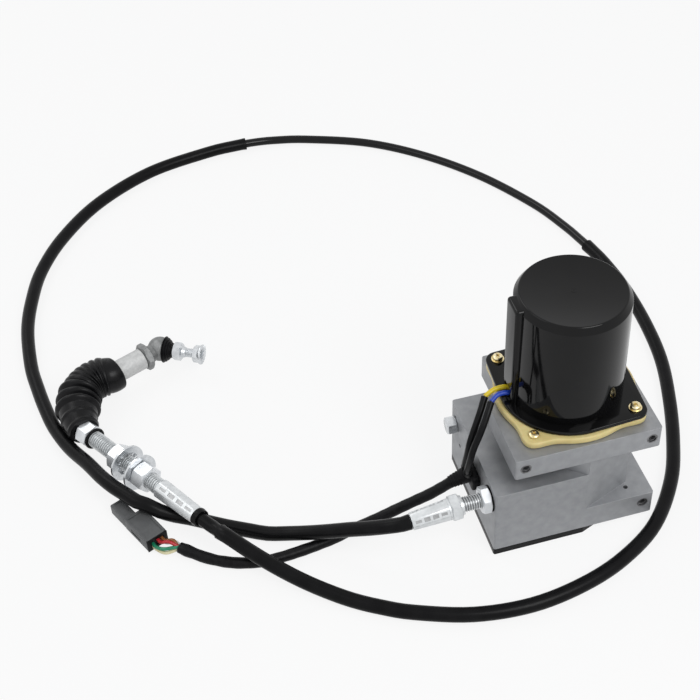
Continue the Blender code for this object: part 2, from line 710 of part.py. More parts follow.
harness_route = [(-69.5, -8, 42.5), (-78, -7.5, 39), (-87, -6, 32.5), (-97, -4.5, 26), (-111, -2.5, 19),
                 (-128, -1.5, 12), (-144, -2, 7.5), (-161, -4, 5.2), (-178, -8, 4.8), (-202, -11.5, 4.8),
                 (-226, -13, 4.8), (-244, -10, 4.8), (-259, -4, 4.8), (-272, 4, 5.2), (-282, 12, 6.2),
                 (-289, 18, 7)]
lead_routes = [
    [(-51, 3, 112), (-57, -5, 106), (-63, -11, 97), (-67.5, -14, 86), (-69.3, -13.5, 72), (-70, -10.5, 58.5),
     (-68.6, -8.5, 52.1)],
    [(-49, -5.5, 114), (-55, -13, 108), (-62, -19.5, 98), (-67, -21, 86), (-69.3, -20, 72), (-70, -17, 58.5),
     (-68.6, -14, 52.1)],
]
wire_routes = [
    [(-29, 4.5, 114.5), (-35, 6, 115), (-43, 5.8, 114.6), (-50.7, 3.4, 112.3)],
    [(-29, -2, 114.5), (-34, -1.4, 116), (-42, -1.6, 116.5), (-48.7, -5.1, 114.3)],
]


def vectors(route):
    return [Vector(point) for point in route]


def cables():
    tube("outer_sleeve_near", smooth_route(vectors(near_route), 30), sleeve_diameter, BLACK_RUBBER, 2)
    tube("cable_conduit", smooth_route(vectors(conduit_route), 24), conduit_diameter, BLACK_RUBBER, 2)
    tube("outer_sleeve_far", smooth_route(vectors(far_route), 30), sleeve_diameter, BLACK_RUBBER, 2)
    tube("harness", smooth_route(vectors(harness_route), 24), harness_diameter, BLACK_RUBBER, 2)
    for i, route in enumerate(lead_routes):
        tube(f"lead_sleeve_{i + 1}", smooth_route(vectors(route), 11), lead_sleeve_diameter, BLACK_RUBBER, 2)
    for name, route, look in (("lead_wire_yellow", wire_routes[0], YELLOW), ("lead_wire_blue", wire_routes[1], BLUE)):
        tube(name, smooth_route(vectors(route), 6), lead_wire_diameter, look, 2)


# Far end: crimped stud with its nuts and washers, bellows, rod and ball joint

stud_start = Vector((-270.5, 27.9, 25.5))
stud_way = Vector((-71.4, 122.7, -5.9)).normalized()
crimp_length = 44.0
thread_end = 140.0
swivel_start = 136.5
swivel_length = 7.0
rod_way = Vector((0.913, 0.407, 0)).normalized()
ball_centre = Vector((-266.8, 227.8, 19.8))
stud_direction = Vector((0.877, -0.480, 0)).normalized()
rod_radius = 9.2
mouth_reach = 41.2


def on_stud(distance):
    return stud_start + stud_way * distance


def far_hub():
    turn = facing(stud_way)
    hub = bmesh.new()
    turned(hub, [(0, 0), (7.2, 0), (8.5, crimp_length), (stud_radius, crimp_length + 1.5),
                 (stud_radius, thread_end), (0, thread_end)], 20)
    make("far_hub", hub, ZINC, stud_start, turn)
    hole = stud_radius + GAP
    for i, (near, thickness) in enumerate(((57.0, 12.5), (87.6, 12.5))):
        nut = bmesh.new()
        prism(nut, hexagon(stud_nut_flats), near, near + thickness, [circle(hole, 20)])
        make(f"far_nut_{i + 1}", nut, ZINC, stud_start, turn)
    for i, near in enumerate((69.8, 84.6)):
        washer = bmesh.new()
        turned(washer, [(hole, near), (13.6, near), (13.6, near + 2.7), (hole, near + 2.7)], 24)
        make(f"far_washer_{i + 1}", washer, ZINC, stud_start, turn)
    nut = bmesh.new()
    inner = stud_radius + GAP
    prism(nut, hexagon(20), swivel_start - swivel_length, swivel_start, [circle(inner, 20)])
    make("swivel_nut", nut, ZINC, stud_start, turn)


bellows_route = [(-341.6, 149.4, 19.7), (-343.5, 158.5, 19.7), (-344.0, 170, 19.8), (-342.0, 184, 19.8),
                 (-336.8, 197, 19.8), (-328, 205.2, 19.8), (-317, 208.3, 19.8)]


def bellows_radius(share):
    """Outer radius along the bellows: cone with two small ribs, big ribs, finer ribs, then the cuff."""
    cone_end, big_end, fine_end = 0.30, 0.70, 0.86
    if share < cone_end:
        return 10.2 + 6.0 * share / cone_end + 0.7 * max(0.0, sin(2 * pi * 2 * share / cone_end))
    if share < big_end:
        return 17.6 + 1.7 * cos(2 * pi * 4 * (share - cone_end) / (big_end - cone_end) + pi)
    if share < fine_end:
        return 16.0 + 0.9 * cos(2 * pi * 3 * (share - big_end) / (fine_end - big_end) + pi)
    return 14.2


def bellows():
    """A ribbed sleeve swept round the bend, open at both ends, from the swivel nut to the rod."""
    mouth = ball_centre - rod_way * mouth_reach
    route = vectors(bellows_route) + [mouth - rod_way * 6, mouth]
    spine = smooth_route(route, 2.3)
    bm = bmesh.new()
    count = 14
    up = Vector((0, 0, 1))
    rings = []
    travelled = [0.0]
    for a, b in zip(spine, spine[1:]):
        travelled.append(travelled[-1] + (b - a).length)
    for i, centre in enumerate(spine):
        ahead = spine[min(i + 1, len(spine) - 1)] - spine[max(i - 1, 0)]
        side = ahead.cross(up).normalized()
        rise = side.cross(ahead).normalized()
        radius = bellows_radius(travelled[i] / travelled[-1])
        rings.append((centre, side, rise, radius))

    def ring(centre, side, rise, radius):
        return [bm.verts.new(centre + side * radius * cos(a) + rise * radius * sin(a))
                for a in (2 * pi * k / count for k in range(count))]

    outer = [ring(*values) for values in rings]
    inner_rings = rings[::5] if (len(rings) - 1) % 5 == 0 else rings[::5] + [rings[-1]]
    inner = [ring(c, s, r, max(inner_radius_at(radius), 8.4)) for c, s, r, radius in inner_rings]
    chain = outer + inner[::-1]
    for lower, upper in zip(chain, chain[1:] + chain[:1]):
        for k in range(count):
            bm.faces.new((lower[k - 1], lower[k], upper[k], upper[k - 1]))
    make("bellows", bm, BLACK_RUBBER)


def inner_radius_at(outer_radius):
    """The bore: clear of the rod in the cuff, and inside the valleys of the ribs elsewhere."""
    return min(outer_radius - 1.6, 13.0) if outer_radius < 14.5 else 13.0


def rod_and_ball():
    turn = facing(rod_way)
    rod_bm = bmesh.new()
    inside = 15.0
    tube_end = mouth_reach - 18.0
    turned(rod_bm, [(0, -mouth_reach - inside), (rod_radius - 1, -mouth_reach - inside),
                    (rod_radius, -mouth_reach - inside + 1), (rod_radius, -tube_end + 5), (0, -tube_end + 5)], 24)
    make("rod_tube", rod_bm, GREY_PAINT, ball_centre, turn)

    socket_radius = 10.6
    cavity = 6.9
    sides = 16
    mouth_turn = facing(stud_direction)
    socket = bmesh.new()
    outline = [(0, -socket_radius)]
    for k in range(1, 6):
        angle = -pi / 2 + k * radians(24)
        outline.append((socket_radius * cos(angle), socket_radius * sin(angle)))
    lip = radians(46)
    outline.append((socket_radius * cos(lip), socket_radius * sin(lip)))
    for k in range(7):
        angle = lip - k * (lip + pi / 2) / 6
        outline.append((cavity * cos(angle), cavity * sin(angle)))
    outline[-1] = (0, -cavity)
    turned(socket, outline, sides)
    obj = make("ball_socket", socket, GREY_PAINT, ball_centre, mouth_turn)
    neck = bmesh.new()
    back = -tube_end + 5 + GAP
    turned(neck, [(0, back), (rod_radius, back), (10.6, back + 0.6), (10.6, back + 6), (7.5, back + 7),
                  (7.2, -8.2), (0, -8.2)], 6)
    boolean(obj, make("add_socket_neck", neck, GREY_PAINT, ball_centre, turn), "UNION")

    stud = bmesh.new()
    ball = cavity - GAP
    outline = [(0, -ball)]
    for k in range(1, 7):
        angle = -pi / 2 + k * radians(150) / 7
        outline.append((ball * cos(angle), ball * sin(angle)))
    outline += [(3.0, ball * sin(radians(63))), (3.0, 12.8), (7.6, 12.8), (7.6, 20), (4.6, 20), (3.9, 22),
                (3.9, 40), (0, 40)]
    turned(stud, outline, 12)
    make("ball_stud", stud, ZINC, ball_centre, mouth_turn)

    boot = bmesh.new()
    inner, outer = socket_radius + GAP, socket_radius + 1.9
    first, last = radians(22), radians(66)
    outline = []
    for k in range(5):
        angle = first + (last - first) * k / 4
        outline.append((inner * cos(angle), inner * sin(angle)))
    outline[-1] = (3.4, inner * sin(radians(71)))
    outline += [(3.4, 12.4), (8.5, 12.4), (8.5, 11.4)]
    for k in range(4):
        angle = radians(50) + (first - radians(50)) * k / 3
        outline.append((outer * cos(angle), outer * sin(angle)))
    turned(boot, outline, sides)
    make("ball_boot", boot, BLACK_RUBBER, ball_centre, mouth_turn)

    nut = bmesh.new()
    hole = 3.9 + GAP
    prism(nut, hexagon(13), 29.3, 35.5, [circle(hole, 12)])
    obj = make("stud_nut", nut, ZINC, ball_centre, mouth_turn)
    flange = bmesh.new()
    turned(flange, [(hole, 28), (8.6, 28), (8.6, 29.2), (7.4, 30), (hole, 30)], 12)
    boolean(obj, make("add_nut_flange", flange, ZINC, ball_centre, mouth_turn), "UNION")


# Connector on the harness

connector_end = Vector((-304.3, 30.2, 0))
connector_way = Vector((-0.417, 0.909, 0)).normalized()


def connector():
    """A six-way plug: sealed wire end, main shell, latch, and the narrower mating half."""
    turn = Matrix((connector_way.cross(Vector((0, 0, 1))), connector_way, Vector((0, 0, 1)))).transposed()
    turn = turn.to_quaternion()
    shell_width, shell_height, shell_length = 18.0, 12.4, 31.0
    mating_width, mating_height, mating_length = 11.0, 11.0, 20.0
    floor = 0.4
    shell = bmesh.new()
    box(shell, (-shell_width / 2, 0, floor), (shell_width / 2, shell_length, shell_height))
    obj = make("connector", shell, GREY_PLASTIC, connector_end, turn)
    mating = bmesh.new()
    left = -shell_width / 2
    box(mating, (left, shell_length - 1, floor + 0.6), (left + mating_width, shell_length + mating_length, mating_height))
    boolean(obj, make("add_mating_half", mating, GREY_PLASTIC, connector_end, turn), "UNION")
    recess = bmesh.new()
    box(recess, (left + 3, -3, 3), (shell_width / 2 - 3, 5, shell_height - 3))
    boolean(obj, make("cut_seal_recess", recess, GREY_PLASTIC, connector_end, turn))
    seal = bmesh.new()
    box(seal, (left + 3.3, 1.5, 3.3), (shell_width / 2 - 3.3, 4.7, shell_height - 3.3))
    make("connector_seal", seal, BLACK_RUBBER, connector_end, turn)


def build():
    for obj in list(bpy.data.objects):
        bpy.data.objects.remove(obj, do_unlink=True)
    lower_housing()
    bottom_cover()
    upper_plate()
    motor_flange()
    motor_cover()
    flange_fasteners()
    motor_inside()
    gear_train()
    rack()
    left_side()
    near_hub()
    cables()
    far_hub()
    bellows()
    rod_and_ball()
    connector()


build()
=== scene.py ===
"""Engine governor actuator, dressed for the picture: a geared motor on a machined housing, its push-pull
cable with a threaded far end, bellows and ball joint, and the wiring with its connector. Shapes are written
in millimetres from the part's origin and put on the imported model's frame in metres."""
from math import atan2, cos, exp, pi, radians, sin, sqrt, tau

import bmesh
import bpy
from mathutils import Matrix, Vector


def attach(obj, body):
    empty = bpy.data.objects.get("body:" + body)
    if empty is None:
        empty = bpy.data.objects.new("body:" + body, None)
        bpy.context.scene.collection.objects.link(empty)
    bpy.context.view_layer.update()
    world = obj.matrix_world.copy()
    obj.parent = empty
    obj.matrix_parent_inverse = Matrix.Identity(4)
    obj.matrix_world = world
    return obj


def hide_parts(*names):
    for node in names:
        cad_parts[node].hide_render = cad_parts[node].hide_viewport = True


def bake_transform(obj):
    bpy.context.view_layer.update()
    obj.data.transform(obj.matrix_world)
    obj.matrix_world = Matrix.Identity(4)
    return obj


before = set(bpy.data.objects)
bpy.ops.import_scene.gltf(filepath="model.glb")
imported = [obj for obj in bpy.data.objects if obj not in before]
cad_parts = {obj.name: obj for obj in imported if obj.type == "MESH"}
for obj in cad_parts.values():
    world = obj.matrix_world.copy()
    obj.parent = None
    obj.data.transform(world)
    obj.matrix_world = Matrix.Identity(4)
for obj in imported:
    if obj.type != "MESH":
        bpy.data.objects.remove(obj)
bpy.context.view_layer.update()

# The camera stands in front, a little to the left and above, as the photograph's outlines of the housing,
# bell and cable say. The actuator is right of the lens axis, so the frame is shifted, not turned.
azimuth = radians(17.9)
elevation = radians(44.4)
roll = radians(-0.2)
standpoint = (-0.3056, -0.6777, 0.8508)
ahead = Vector((sin(azimuth) * cos(elevation), cos(azimuth) * cos(elevation), -sin(elevation)))
across = Vector((cos(azimuth), -sin(azimuth), 0))
down = ahead.cross(across)
level = cos(roll) * across + sin(roll) * down
rise = sin(roll) * across - cos(roll) * down
facing = Matrix((level, rise, -ahead)).transposed().to_4x4()
camera_data = bpy.data.cameras.new("camera")
camera_data.lens = 71.93
camera_data.sensor_width = 36.0
camera_data.shift_x = -0.1286
camera_data.shift_y = 0.0286
camera = bpy.data.objects.new("camera", camera_data)
camera.matrix_world = Matrix.Translation(standpoint) @ facing
bpy.context.scene.collection.objects.link(camera)
bpy.context.scene.camera = camera
bpy.context.scene.view_settings.view_transform = "Standard"


# The push-pull cable is a steel core in a thin, hard nylon conduit, with a thick vinyl sleeve over each end.
# It lies on the floor in one turn round the housing, on the route that the solid model was built on.
near_route = [(-123.5, -43.5, 48), (-129.5, -43.4, 47.2), (-139, -39.5, 43.9), (-151, -31.5, 36.8),
              (-164, -22, 29), (-178, -13, 21.5), (-192, -4, 14.5), (-206, 4, 9.5), (-222, 11, 7),
              (-235, 19, 6.2), (-252, 29, 6.2), (-266, 38, 6.6), (-277, 44, 8), (-287, 48, 10),
              (-297.5, 51.8, 14.6), (-306.5, 57.3, 19.4), (-313, 62, 20.2), (-319.5, 71, 20.3),
              (-327.5, 82, 20), (-335.5, 97, 18.4), (-344, 118, 14.8), (-356, 145, 9.5), (-365, 173, 6.6),
              (-370, 199, 6), (-373.5, 225, 6), (-376, 255, 6), (-374, 302, 6), (-366, 342, 6),
              (-353, 381, 6), (-328, 424, 6), (-288, 468, 6), (-232, 503, 6), (-171, 519, 6), (-141, 522, 6),
              (-130, 522.3, 6)]
conduit_route = [(-118, 522.3, 5.7), (-100, 520.8, 5), (-68, 513, 4.6), (-10, 488, 4.6),
                 (40, 449, 4.6), (84, 398, 4.6), (119, 339, 4.6), (135, 297, 5.2), (141.4, 273.5, 5.8)]
far_route = [(144.15, 262.4, 6), (146.6, 252.5, 6), (150.5, 232, 6), (154, 194, 6), (153, 146, 6),
             (147, 98, 6), (134, 52, 6), (117.5, 8, 6), (97.5, -32, 6), (66.5, -70, 6), (30, -93.5, 6),
             (-8, -107, 6), (-51, -113, 6), (-95, -108, 6), (-136, -93, 6), (-158, -81, 6), (-176, -69, 6.2),
             (-193, -55, 7), (-209, -41, 9.4), (-225, -26, 13.6), (-240, -11, 19), (-253, 4, 23.2),
             (-262.5, 15.5, 25.2), (-270.2, 27.4, 25.6)]
sleeve_thickness = 11.6
conduit_thickness = 8.2


def smooth_line(points, step):
    """Points about a step apart on a smooth curve through the given ones, in millimetres."""
    points = [Vector(point) for point in points]
    ends = [2 * points[0] - points[1], *points, 2 * points[-1] - points[-2]]
    line = [points[0]]
    for a, b, c, d in zip(ends, ends[1:], ends[2:], ends[3:]):
        count = max(1, round((c - b).length / step))
        for k in range(1, count + 1):
            t = k / count
            bend = (2 * a - 5 * b + 4 * c - d) * t * t + (3 * b - a - 3 * c + d) * t ** 3
            line.append((2 * b + (c - a) * t + bend) / 2)
    return line


def round_lead(name, line, diameter, skin, body="actuator", swell=None):
    """A round cord along a line; swell gives its thickness, as a share, at each point."""
    curve = bpy.data.curves.new(name, "CURVE")
    curve.dimensions = "3D"
    curve.bevel_depth = diameter / 2000
    curve.bevel_resolution = 6
    curve.use_fill_caps = True
    spline = curve.splines.new("POLY")
    spline.points.add(len(line) - 1)
    spline.use_smooth = True
    for i, (knot, point) in enumerate(zip(spline.points, line)):
        knot.co = (*(point / 1000), 1)
        knot.radius = swell(i, len(line) - 1) if swell else 1.0
    piece = bpy.data.objects.new(name, curve)
    bpy.context.scene.collection.objects.link(piece)
    curve.materials.append(skin)
    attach(piece, body)
    return piece


def surface(name, dark, light, roughness, metallic=0.0, patch=9.0, stretch=(1, 1, 1), grain=0.4, relief=0.02,
            edge=0.0, shine=0.5):
    """A finish with colour patches, uneven gloss and fine relief. Patch, grain, relief and edge are in
    millimetres; edge is the small round that catches light along corners."""
    skin = bpy.data.materials.new(name)
    skin.use_nodes = True
    tree = skin.node_tree
    shader = tree.nodes["Principled BSDF"]
    shader.inputs["Metallic"].default_value = metallic
    shader.inputs["Specular IOR Level"].default_value = shine
    where = tree.nodes.new("ShaderNodeTexCoord").outputs["Object"]
    mapping = tree.nodes.new("ShaderNodeMapping")
    mapping.inputs["Scale"].default_value = stretch
    tree.links.new(where, mapping.inputs["Vector"])
    patches = tree.nodes.new("ShaderNodeTexNoise")
    patches.inputs["Scale"].default_value = 1000 / patch
    patches.inputs["Detail"].default_value = 5
    tree.links.new(mapping.outputs["Vector"], patches.inputs["Vector"])
    ramp = tree.nodes.new("ShaderNodeValToRGB")
    for stop, share, colour in zip(ramp.color_ramp.elements, (0.35, 0.65), (dark, light)):
        stop.position = share
        stop.color = (*colour, 1)
    tree.links.new(patches.outputs["Fac"], ramp.inputs["Fac"])
    tree.links.new(ramp.outputs["Color"], shader.inputs["Base Color"])
    grains = tree.nodes.new("ShaderNodeTexNoise")
    grains.inputs["Scale"].default_value = 1000 / grain
    grains.inputs["Detail"].default_value = 3
    tree.links.new(mapping.outputs["Vector"], grains.inputs["Vector"])
    spread = tree.nodes.new("ShaderNodeMapRange")
    spread.inputs["To Min"].default_value = roughness[0]
    spread.inputs["To Max"].default_value = roughness[1]
    tree.links.new(grains.outputs["Fac"], spread.inputs["Value"])
    tree.links.new(spread.outputs["Result"], shader.inputs["Roughness"])
    bump = tree.nodes.new("ShaderNodeBump")
    bump.inputs["Strength"].default_value = 0.6
    bump.inputs["Distance"].default_value = relief / 1000
    tree.links.new(grains.outputs["Fac"], bump.inputs["Height"])
    if edge:
        round_edge = tree.nodes.new("ShaderNodeBevel")
        round_edge.samples = 6
        round_edge.inputs["Radius"].default_value = edge / 1000
        tree.links.new(round_edge.outputs["Normal"], bump.inputs["Normal"])
    tree.links.new(bump.outputs["Normal"], shader.inputs["Normal"])
    return skin


sleeve_skin = surface("sleeve_vinyl", (0.003, 0.003, 0.0035), (0.006, 0.006, 0.0065), (0.24, 0.36), patch=14,
                      grain=1.6, relief=0.04, shine=0.1)
conduit_skin = surface("conduit_nylon", (0.003, 0.003, 0.0035), (0.005, 0.005, 0.0055), (0.10, 0.18),
                       patch=14, grain=2.4, relief=0.03, shine=0.22)


def lipped(i, last):
    """A sleeve is a little thicker at its cut ends."""
    return 1.05 if i in (0, last) else 1.0


def stepped(i, last):
    """The far sleeve starts a finger's width past the crimp, over a thinner one."""
    if i > last - 4:
        return 0.88
    return 1.05 if i in (0, last - 4) else 1.0


near_line = smooth_line(near_route, 7)
far_line = smooth_line(far_route, 7)
far_line.insert(-3, far_line[-4].lerp(far_line[-3], 0.1))
cable_line = smooth_line(near_route + conduit_route + far_route, 7)
near_sleeve = round_lead("near_sleeve", near_line, sleeve_thickness, sleeve_skin,
                         swell=lipped)
far_sleeve = round_lead("far_sleeve", far_line, sleeve_thickness, sleeve_skin, swell=stepped)
cable = round_lead("cable", cable_line, conduit_thickness, conduit_skin)
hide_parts("outer_sleeve_near")
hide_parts("outer_sleeve_far")
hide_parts("cable_conduit")

# The harness is a bundle of wires wound in black cloth tape. It leaves the boot on the housing's left side,
# comes down to the floor and ends at the connector.
harness_route = [(-69.5, -8, 42.5), (-78, -7.5, 39), (-87, -6, 32.5), (-97, -4.5, 26), (-111, -2.5, 19),
                 (-128, -1.5, 12), (-144, -2, 7.5), (-161, -4, 5.2), (-178, -8, 4.8), (-202, -11.5, 4.8),
                 (-226, -13, 4.8), (-244, -10, 4.8), (-259, -4, 4.8), (-272, 4, 5.2), (-282, 12, 6.2),
                 (-289, 18, 7)]
loom_thickness = 8.8
tape_skin = surface("harness_tape", (0.003, 0.003, 0.0035), (0.008, 0.008, 0.009), (0.26, 0.50), patch=5,
                    stretch=(1.6, 0.8, 1), grain=2.2, relief=0.2, shine=0.12)


def taped(i, last):
    """Turns of tape: lumpy where the wires fan out to the connector, and nearly even elsewhere."""
    fan = max(0.0, 1 - (last - i) / 14)
    return 1 + 0.018 * sin(i * 1.9) + 0.012 * sin(i * 0.7) + fan * 0.07 * sin(i * 1.25) + 0.08 * fan * fan


harness_line = smooth_line(harness_route, 3)
harness = round_lead("harness_loom", harness_line, loom_thickness, tape_skin, swell=taped)
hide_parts("harness")

# Two rubber sleeves carry the motor's wires from the bell's mouth down the left side to the boot. The bare
# wires show for a finger's width at the top, one yellow and one blue.
lead_routes = [[(-51, 3, 112), (-57, -5, 106), (-63, -11, 97), (-67.5, -14, 86), (-69.3, -13.5, 72),
                (-70, -10.5, 58.5), (-68.6, -8.5, 52.1)],
               [(-49, -5.5, 114), (-55, -13, 108), (-62, -19.5, 98), (-67, -21, 86), (-69.3, -20, 72),
                (-70, -17, 58.5), (-68.6, -14, 52.1)]]
wire_routes = [[(-29, 4.5, 114.5), (-35, 6, 115), (-43, 5.8, 114.6), (-50.7, 3.4, 112.3)],
               [(-29, -2, 114.5), (-34, -1.4, 116), (-42, -1.6, 116.5), (-48.7, -5.1, 114.3)]]
lead_thickness = 5.3
motor_wire_thickness = 3.8
lead_skin = surface("lead_rubber", (0.003, 0.003, 0.0035), (0.007, 0.007, 0.008), (0.28, 0.44), patch=6,
                    grain=0.9, relief=0.03, shine=0.12)
yellow_skin = surface("yellow_insulation", (0.80, 0.58, 0.012), (0.88, 0.68, 0.02), (0.30, 0.42), patch=5,
                      grain=0.8, relief=0.02)
blue_skin = surface("blue_insulation", (0.008, 0.045, 0.40), (0.014, 0.070, 0.52), (0.28, 0.40), patch=5,
                    grain=0.8, relief=0.02)
for i, (route, wire_route, skin, slot, node) in enumerate((
        (lead_routes[0], wire_routes[0], yellow_skin, "yellow_wire", "lead_wire_yellow"),
        (lead_routes[1], wire_routes[1], blue_skin, "blue_wire", "lead_wire_blue"))):
    lead_line = smooth_line(route, 3)
    lead = round_lead(f"motor_lead_{i + 1}", lead_line, lead_thickness, lead_skin,
                      swell=lipped)
    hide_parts(f"lead_sleeve_{i + 1}")
    wire = round_lead(f"motor_wire_{i + 1}", smooth_line(wire_route, 2), motor_wire_thickness, skin)
    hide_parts(node)

# The housing is one block of aluminium, milled on every face, with the gear train's cavity inside. Its plate
# and its painted bottom cover are screwed on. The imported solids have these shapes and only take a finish.
milled_skin = surface("milled_aluminium", (0.315, 0.322, 0.335), (0.355, 0.362, 0.375), (0.38, 0.54), 0.6,
                      patch=7, grain=0.45, relief=0.012, edge=0.45, shine=0.3)


def mill(skin, pitch):
    """Faint parallel cutter marks over a machined finish."""
    tree = skin.node_tree
    where = tree.nodes.new("ShaderNodeTexCoord").outputs["Object"]
    marks = tree.nodes.new("ShaderNodeTexWave")
    marks.wave_type = "BANDS"
    marks.bands_direction = "DIAGONAL"
    marks.inputs["Scale"].default_value = 1000 / pitch / 20
    marks.inputs["Distortion"].default_value = 2.5
    marks.inputs["Detail"].default_value = 2
    tree.links.new(where, marks.inputs["Vector"])
    spread = next(node for node in tree.nodes if node.type == "MAP_RANGE")
    total = tree.nodes.new("ShaderNodeMath")
    total.operation = "MULTIPLY_ADD"
    total.inputs[1].default_value = 0.07
    tree.links.new(marks.outputs["Fac"], total.inputs[0])
    tree.links.new(spread.outputs["Result"], total.inputs[2])
    shader = tree.nodes["Principled BSDF"]
    tree.links.new(total.outputs["Value"], shader.inputs["Roughness"])


mill(milled_skin, 1.4)
bottom_skin = surface("bottom_paint", (0.004, 0.004, 0.0045), (0.008, 0.008, 0.009), (0.30, 0.44), patch=8,
                      grain=0.7, relief=0.03, edge=0.5, shine=0.12)


def dress(skin, *names):
    """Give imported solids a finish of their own."""
    for name in names:
        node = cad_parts[name]
        node.data.materials.clear()
        node.data.materials.append(skin)


dress(milled_skin, "lower_housing", "upper_plate")
dress(bottom_skin, "bottom_cover")

# The column under the plate is milled back on a slant from the housing's front edge, so that the gap below
# the overhang runs out to nothing there. This is the slanted part, of the same block.
housing_left = -61
housing_front = -56
slant_foot = 67.05
slant_height = 14.1


def corner(x, y, z):
    """A place measured from the housing's front left corner."""
    return Vector((x + housing_left, y + housing_front, z))


def draw_up(shape, faces, height):
    """Pull faces straight up into a solid."""
    raised = bmesh.ops.extrude_face_region(shape, geom=faces)
    top = [vert for vert in raised["geom"] if isinstance(vert, bmesh.types.BMVert)]
    bmesh.ops.translate(shape, vec=(0, 0, height), verts=top)


def settle(name, shape, skin, body="actuator", stands_for=(), place=None, sharp=35):
    """Put a shape, drawn in millimetres, on the frame as a piece of its own."""
    if place is not None:
        bmesh.ops.transform(shape, matrix=place, verts=shape.verts)
    bmesh.ops.remove_doubles(shape, verts=shape.verts, dist=0.0005)
    bmesh.ops.recalc_face_normals(shape, faces=shape.faces)
    bmesh.ops.scale(shape, vec=(0.001, 0.001, 0.001), verts=shape.verts)
    mesh = bpy.data.meshes.new(name)
    shape.to_mesh(mesh)
    shape.free()
    mesh.shade_smooth()
    mesh.set_sharp_from_angle(angle=radians(sharp))
    mesh.materials.append(skin)
    piece = bpy.data.objects.new(name, mesh)
    bpy.context.scene.collection.objects.link(piece)
    if body:
        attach(piece, body)
    if stands_for:
        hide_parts(*stands_for)
    return piece


slant = bmesh.new()
footprint = [slant.verts.new(corner(x, y, slant_foot))
             for x, y in ((72.95, 0.03), (72.95, 14.4), (45.2, 38.4), (38, 27.2))]
draw_up(slant, [slant.faces.new(footprint)], slant_height)
settle("column_slant", slant, milled_skin)

# The three mounting holes are tapped M8 and lightly countersunk. Each is lined with its thread, painted dark
# as shade inside the hole, and a dark flat ring round its mouth is painted shade that stands for the
# countersink.
# A dark finish for the bores: painted shade for the hole's thread and for the ring at its mouth.
tapped_bore_shade_skin = surface("tapped_bore", (0.12, 0.12, 0.125), (0.24, 0.24, 0.245), (0.30, 0.45), 0.9, patch=2,
                      grain=0.4, relief=0.02)


def lathe(shape, profile, steps=48):
    """Spin a profile of (radius, height) about Z; one that starts off the axis is a closed ring."""
    verts = [shape.verts.new((radius, 0, height)) for radius, height in profile]
    edges = [shape.edges.new(pair) for pair in zip(verts, verts[1:])]
    if profile[0][0] > 0:
        edges.append(shape.edges.new((verts[-1], verts[0])))
    bmesh.ops.spin(shape, geom=verts + edges, cent=(0, 0, 0), axis=(0, 0, 1), angle=tau, steps=steps,
                   use_merge=True)
    bmesh.ops.remove_doubles(shape, verts=shape.verts, dist=0.0005)


def turned(profile, steps=48):
    """A shape of its own, spun from a profile."""
    shape = bmesh.new()
    lathe(shape, profile, steps)
    return shape


def merge(shape, other):
    """Add a shape to another without cutting either."""
    mesh = bpy.data.meshes.new("blank")
    other.to_mesh(mesh)
    other.free()
    shape.from_mesh(mesh)
    bpy.data.meshes.remove(mesh)


def thread(shape, radius, pitch, depth, start, end, steps=24, inner=False):
    """Wind a ridge round a shank, or inside a hole."""
    root, crest = (radius + 0.1, radius - depth) if inner else (radius - depth - 0.1, radius)
    ridge = bmesh.new()
    section = [(root, 0), (crest, 0.22), (crest, 0.36), (root, 0.58)]
    turns = max(1, round((end - start) / pitch) - 1)
    rings = []
    for k in range(turns * steps + 1):
        a = tau * k / steps
        rings.append([ridge.verts.new((r * cos(a), r * sin(a), start + pitch * (z + k / steps)))
                      for r, z in section])
    for one, two in zip(rings, rings[1:]):
        for i in range(4):
            ridge.faces.new((one[i], one[(i + 1) % 4], two[(i + 1) % 4], two[i]))
    ridge.faces.new(rings[0])
    ridge.faces.new(rings[-1][::-1])
    merge(shape, ridge)


def toward(place, way):
    """The placement that takes a shape's own Z along a direction."""
    return Matrix.Translation(place) @ Vector(way).to_track_quat("Z", "Y").to_matrix().to_4x4()


for i, (x, z) in enumerate(((22, 91), (121.5, 91), (121.5, 18.5))):
    bore = turned([(4.45, -0.05), (3.3, -0.07), (3.2, 0.6), (3.2, 14.4), (3.3, 14.4), (3.3, 0.1),
                   (4.45, 0.03)], 40)
    thread(bore, radius=3.28, pitch=1.25, depth=0.5, start=0.2, end=14.2, inner=True)
    settle(f"tapped_bore_{i + 1}", bore, tapped_bore_shade_skin,
           place=toward(corner(x, 0, z), (0, 1, 0)))

# The motor stands on a moulded spacer of pale yellow plastic with four soft ears and a rounded rim. Two pan
# head screws hold it to the plate, and the bell's own two go through its other ears.
flange_skin = surface("spacer_resin", (0.66, 0.53, 0.22), (0.76, 0.64, 0.30), (0.30, 0.46), patch=18,
                      grain=0.8, relief=0.03, shine=0.35)
flange_skin.node_tree.nodes["Principled BSDF"].inputs["Subsurface Weight"].default_value = 0.08
flange_skin.node_tree.nodes["Principled BSDF"].inputs["Subsurface Scale"].default_value = 0.002
motor_axis = Vector((12, 0, 0))
spacer_seat = 100.8
spacer_thickness = 5.7
spacer_radius = 54
ear_swell = 11
reach = 56.2 / sqrt(2)
ears = [(-reach, -reach), (reach, -reach), (reach, reach), (-reach, reach)]


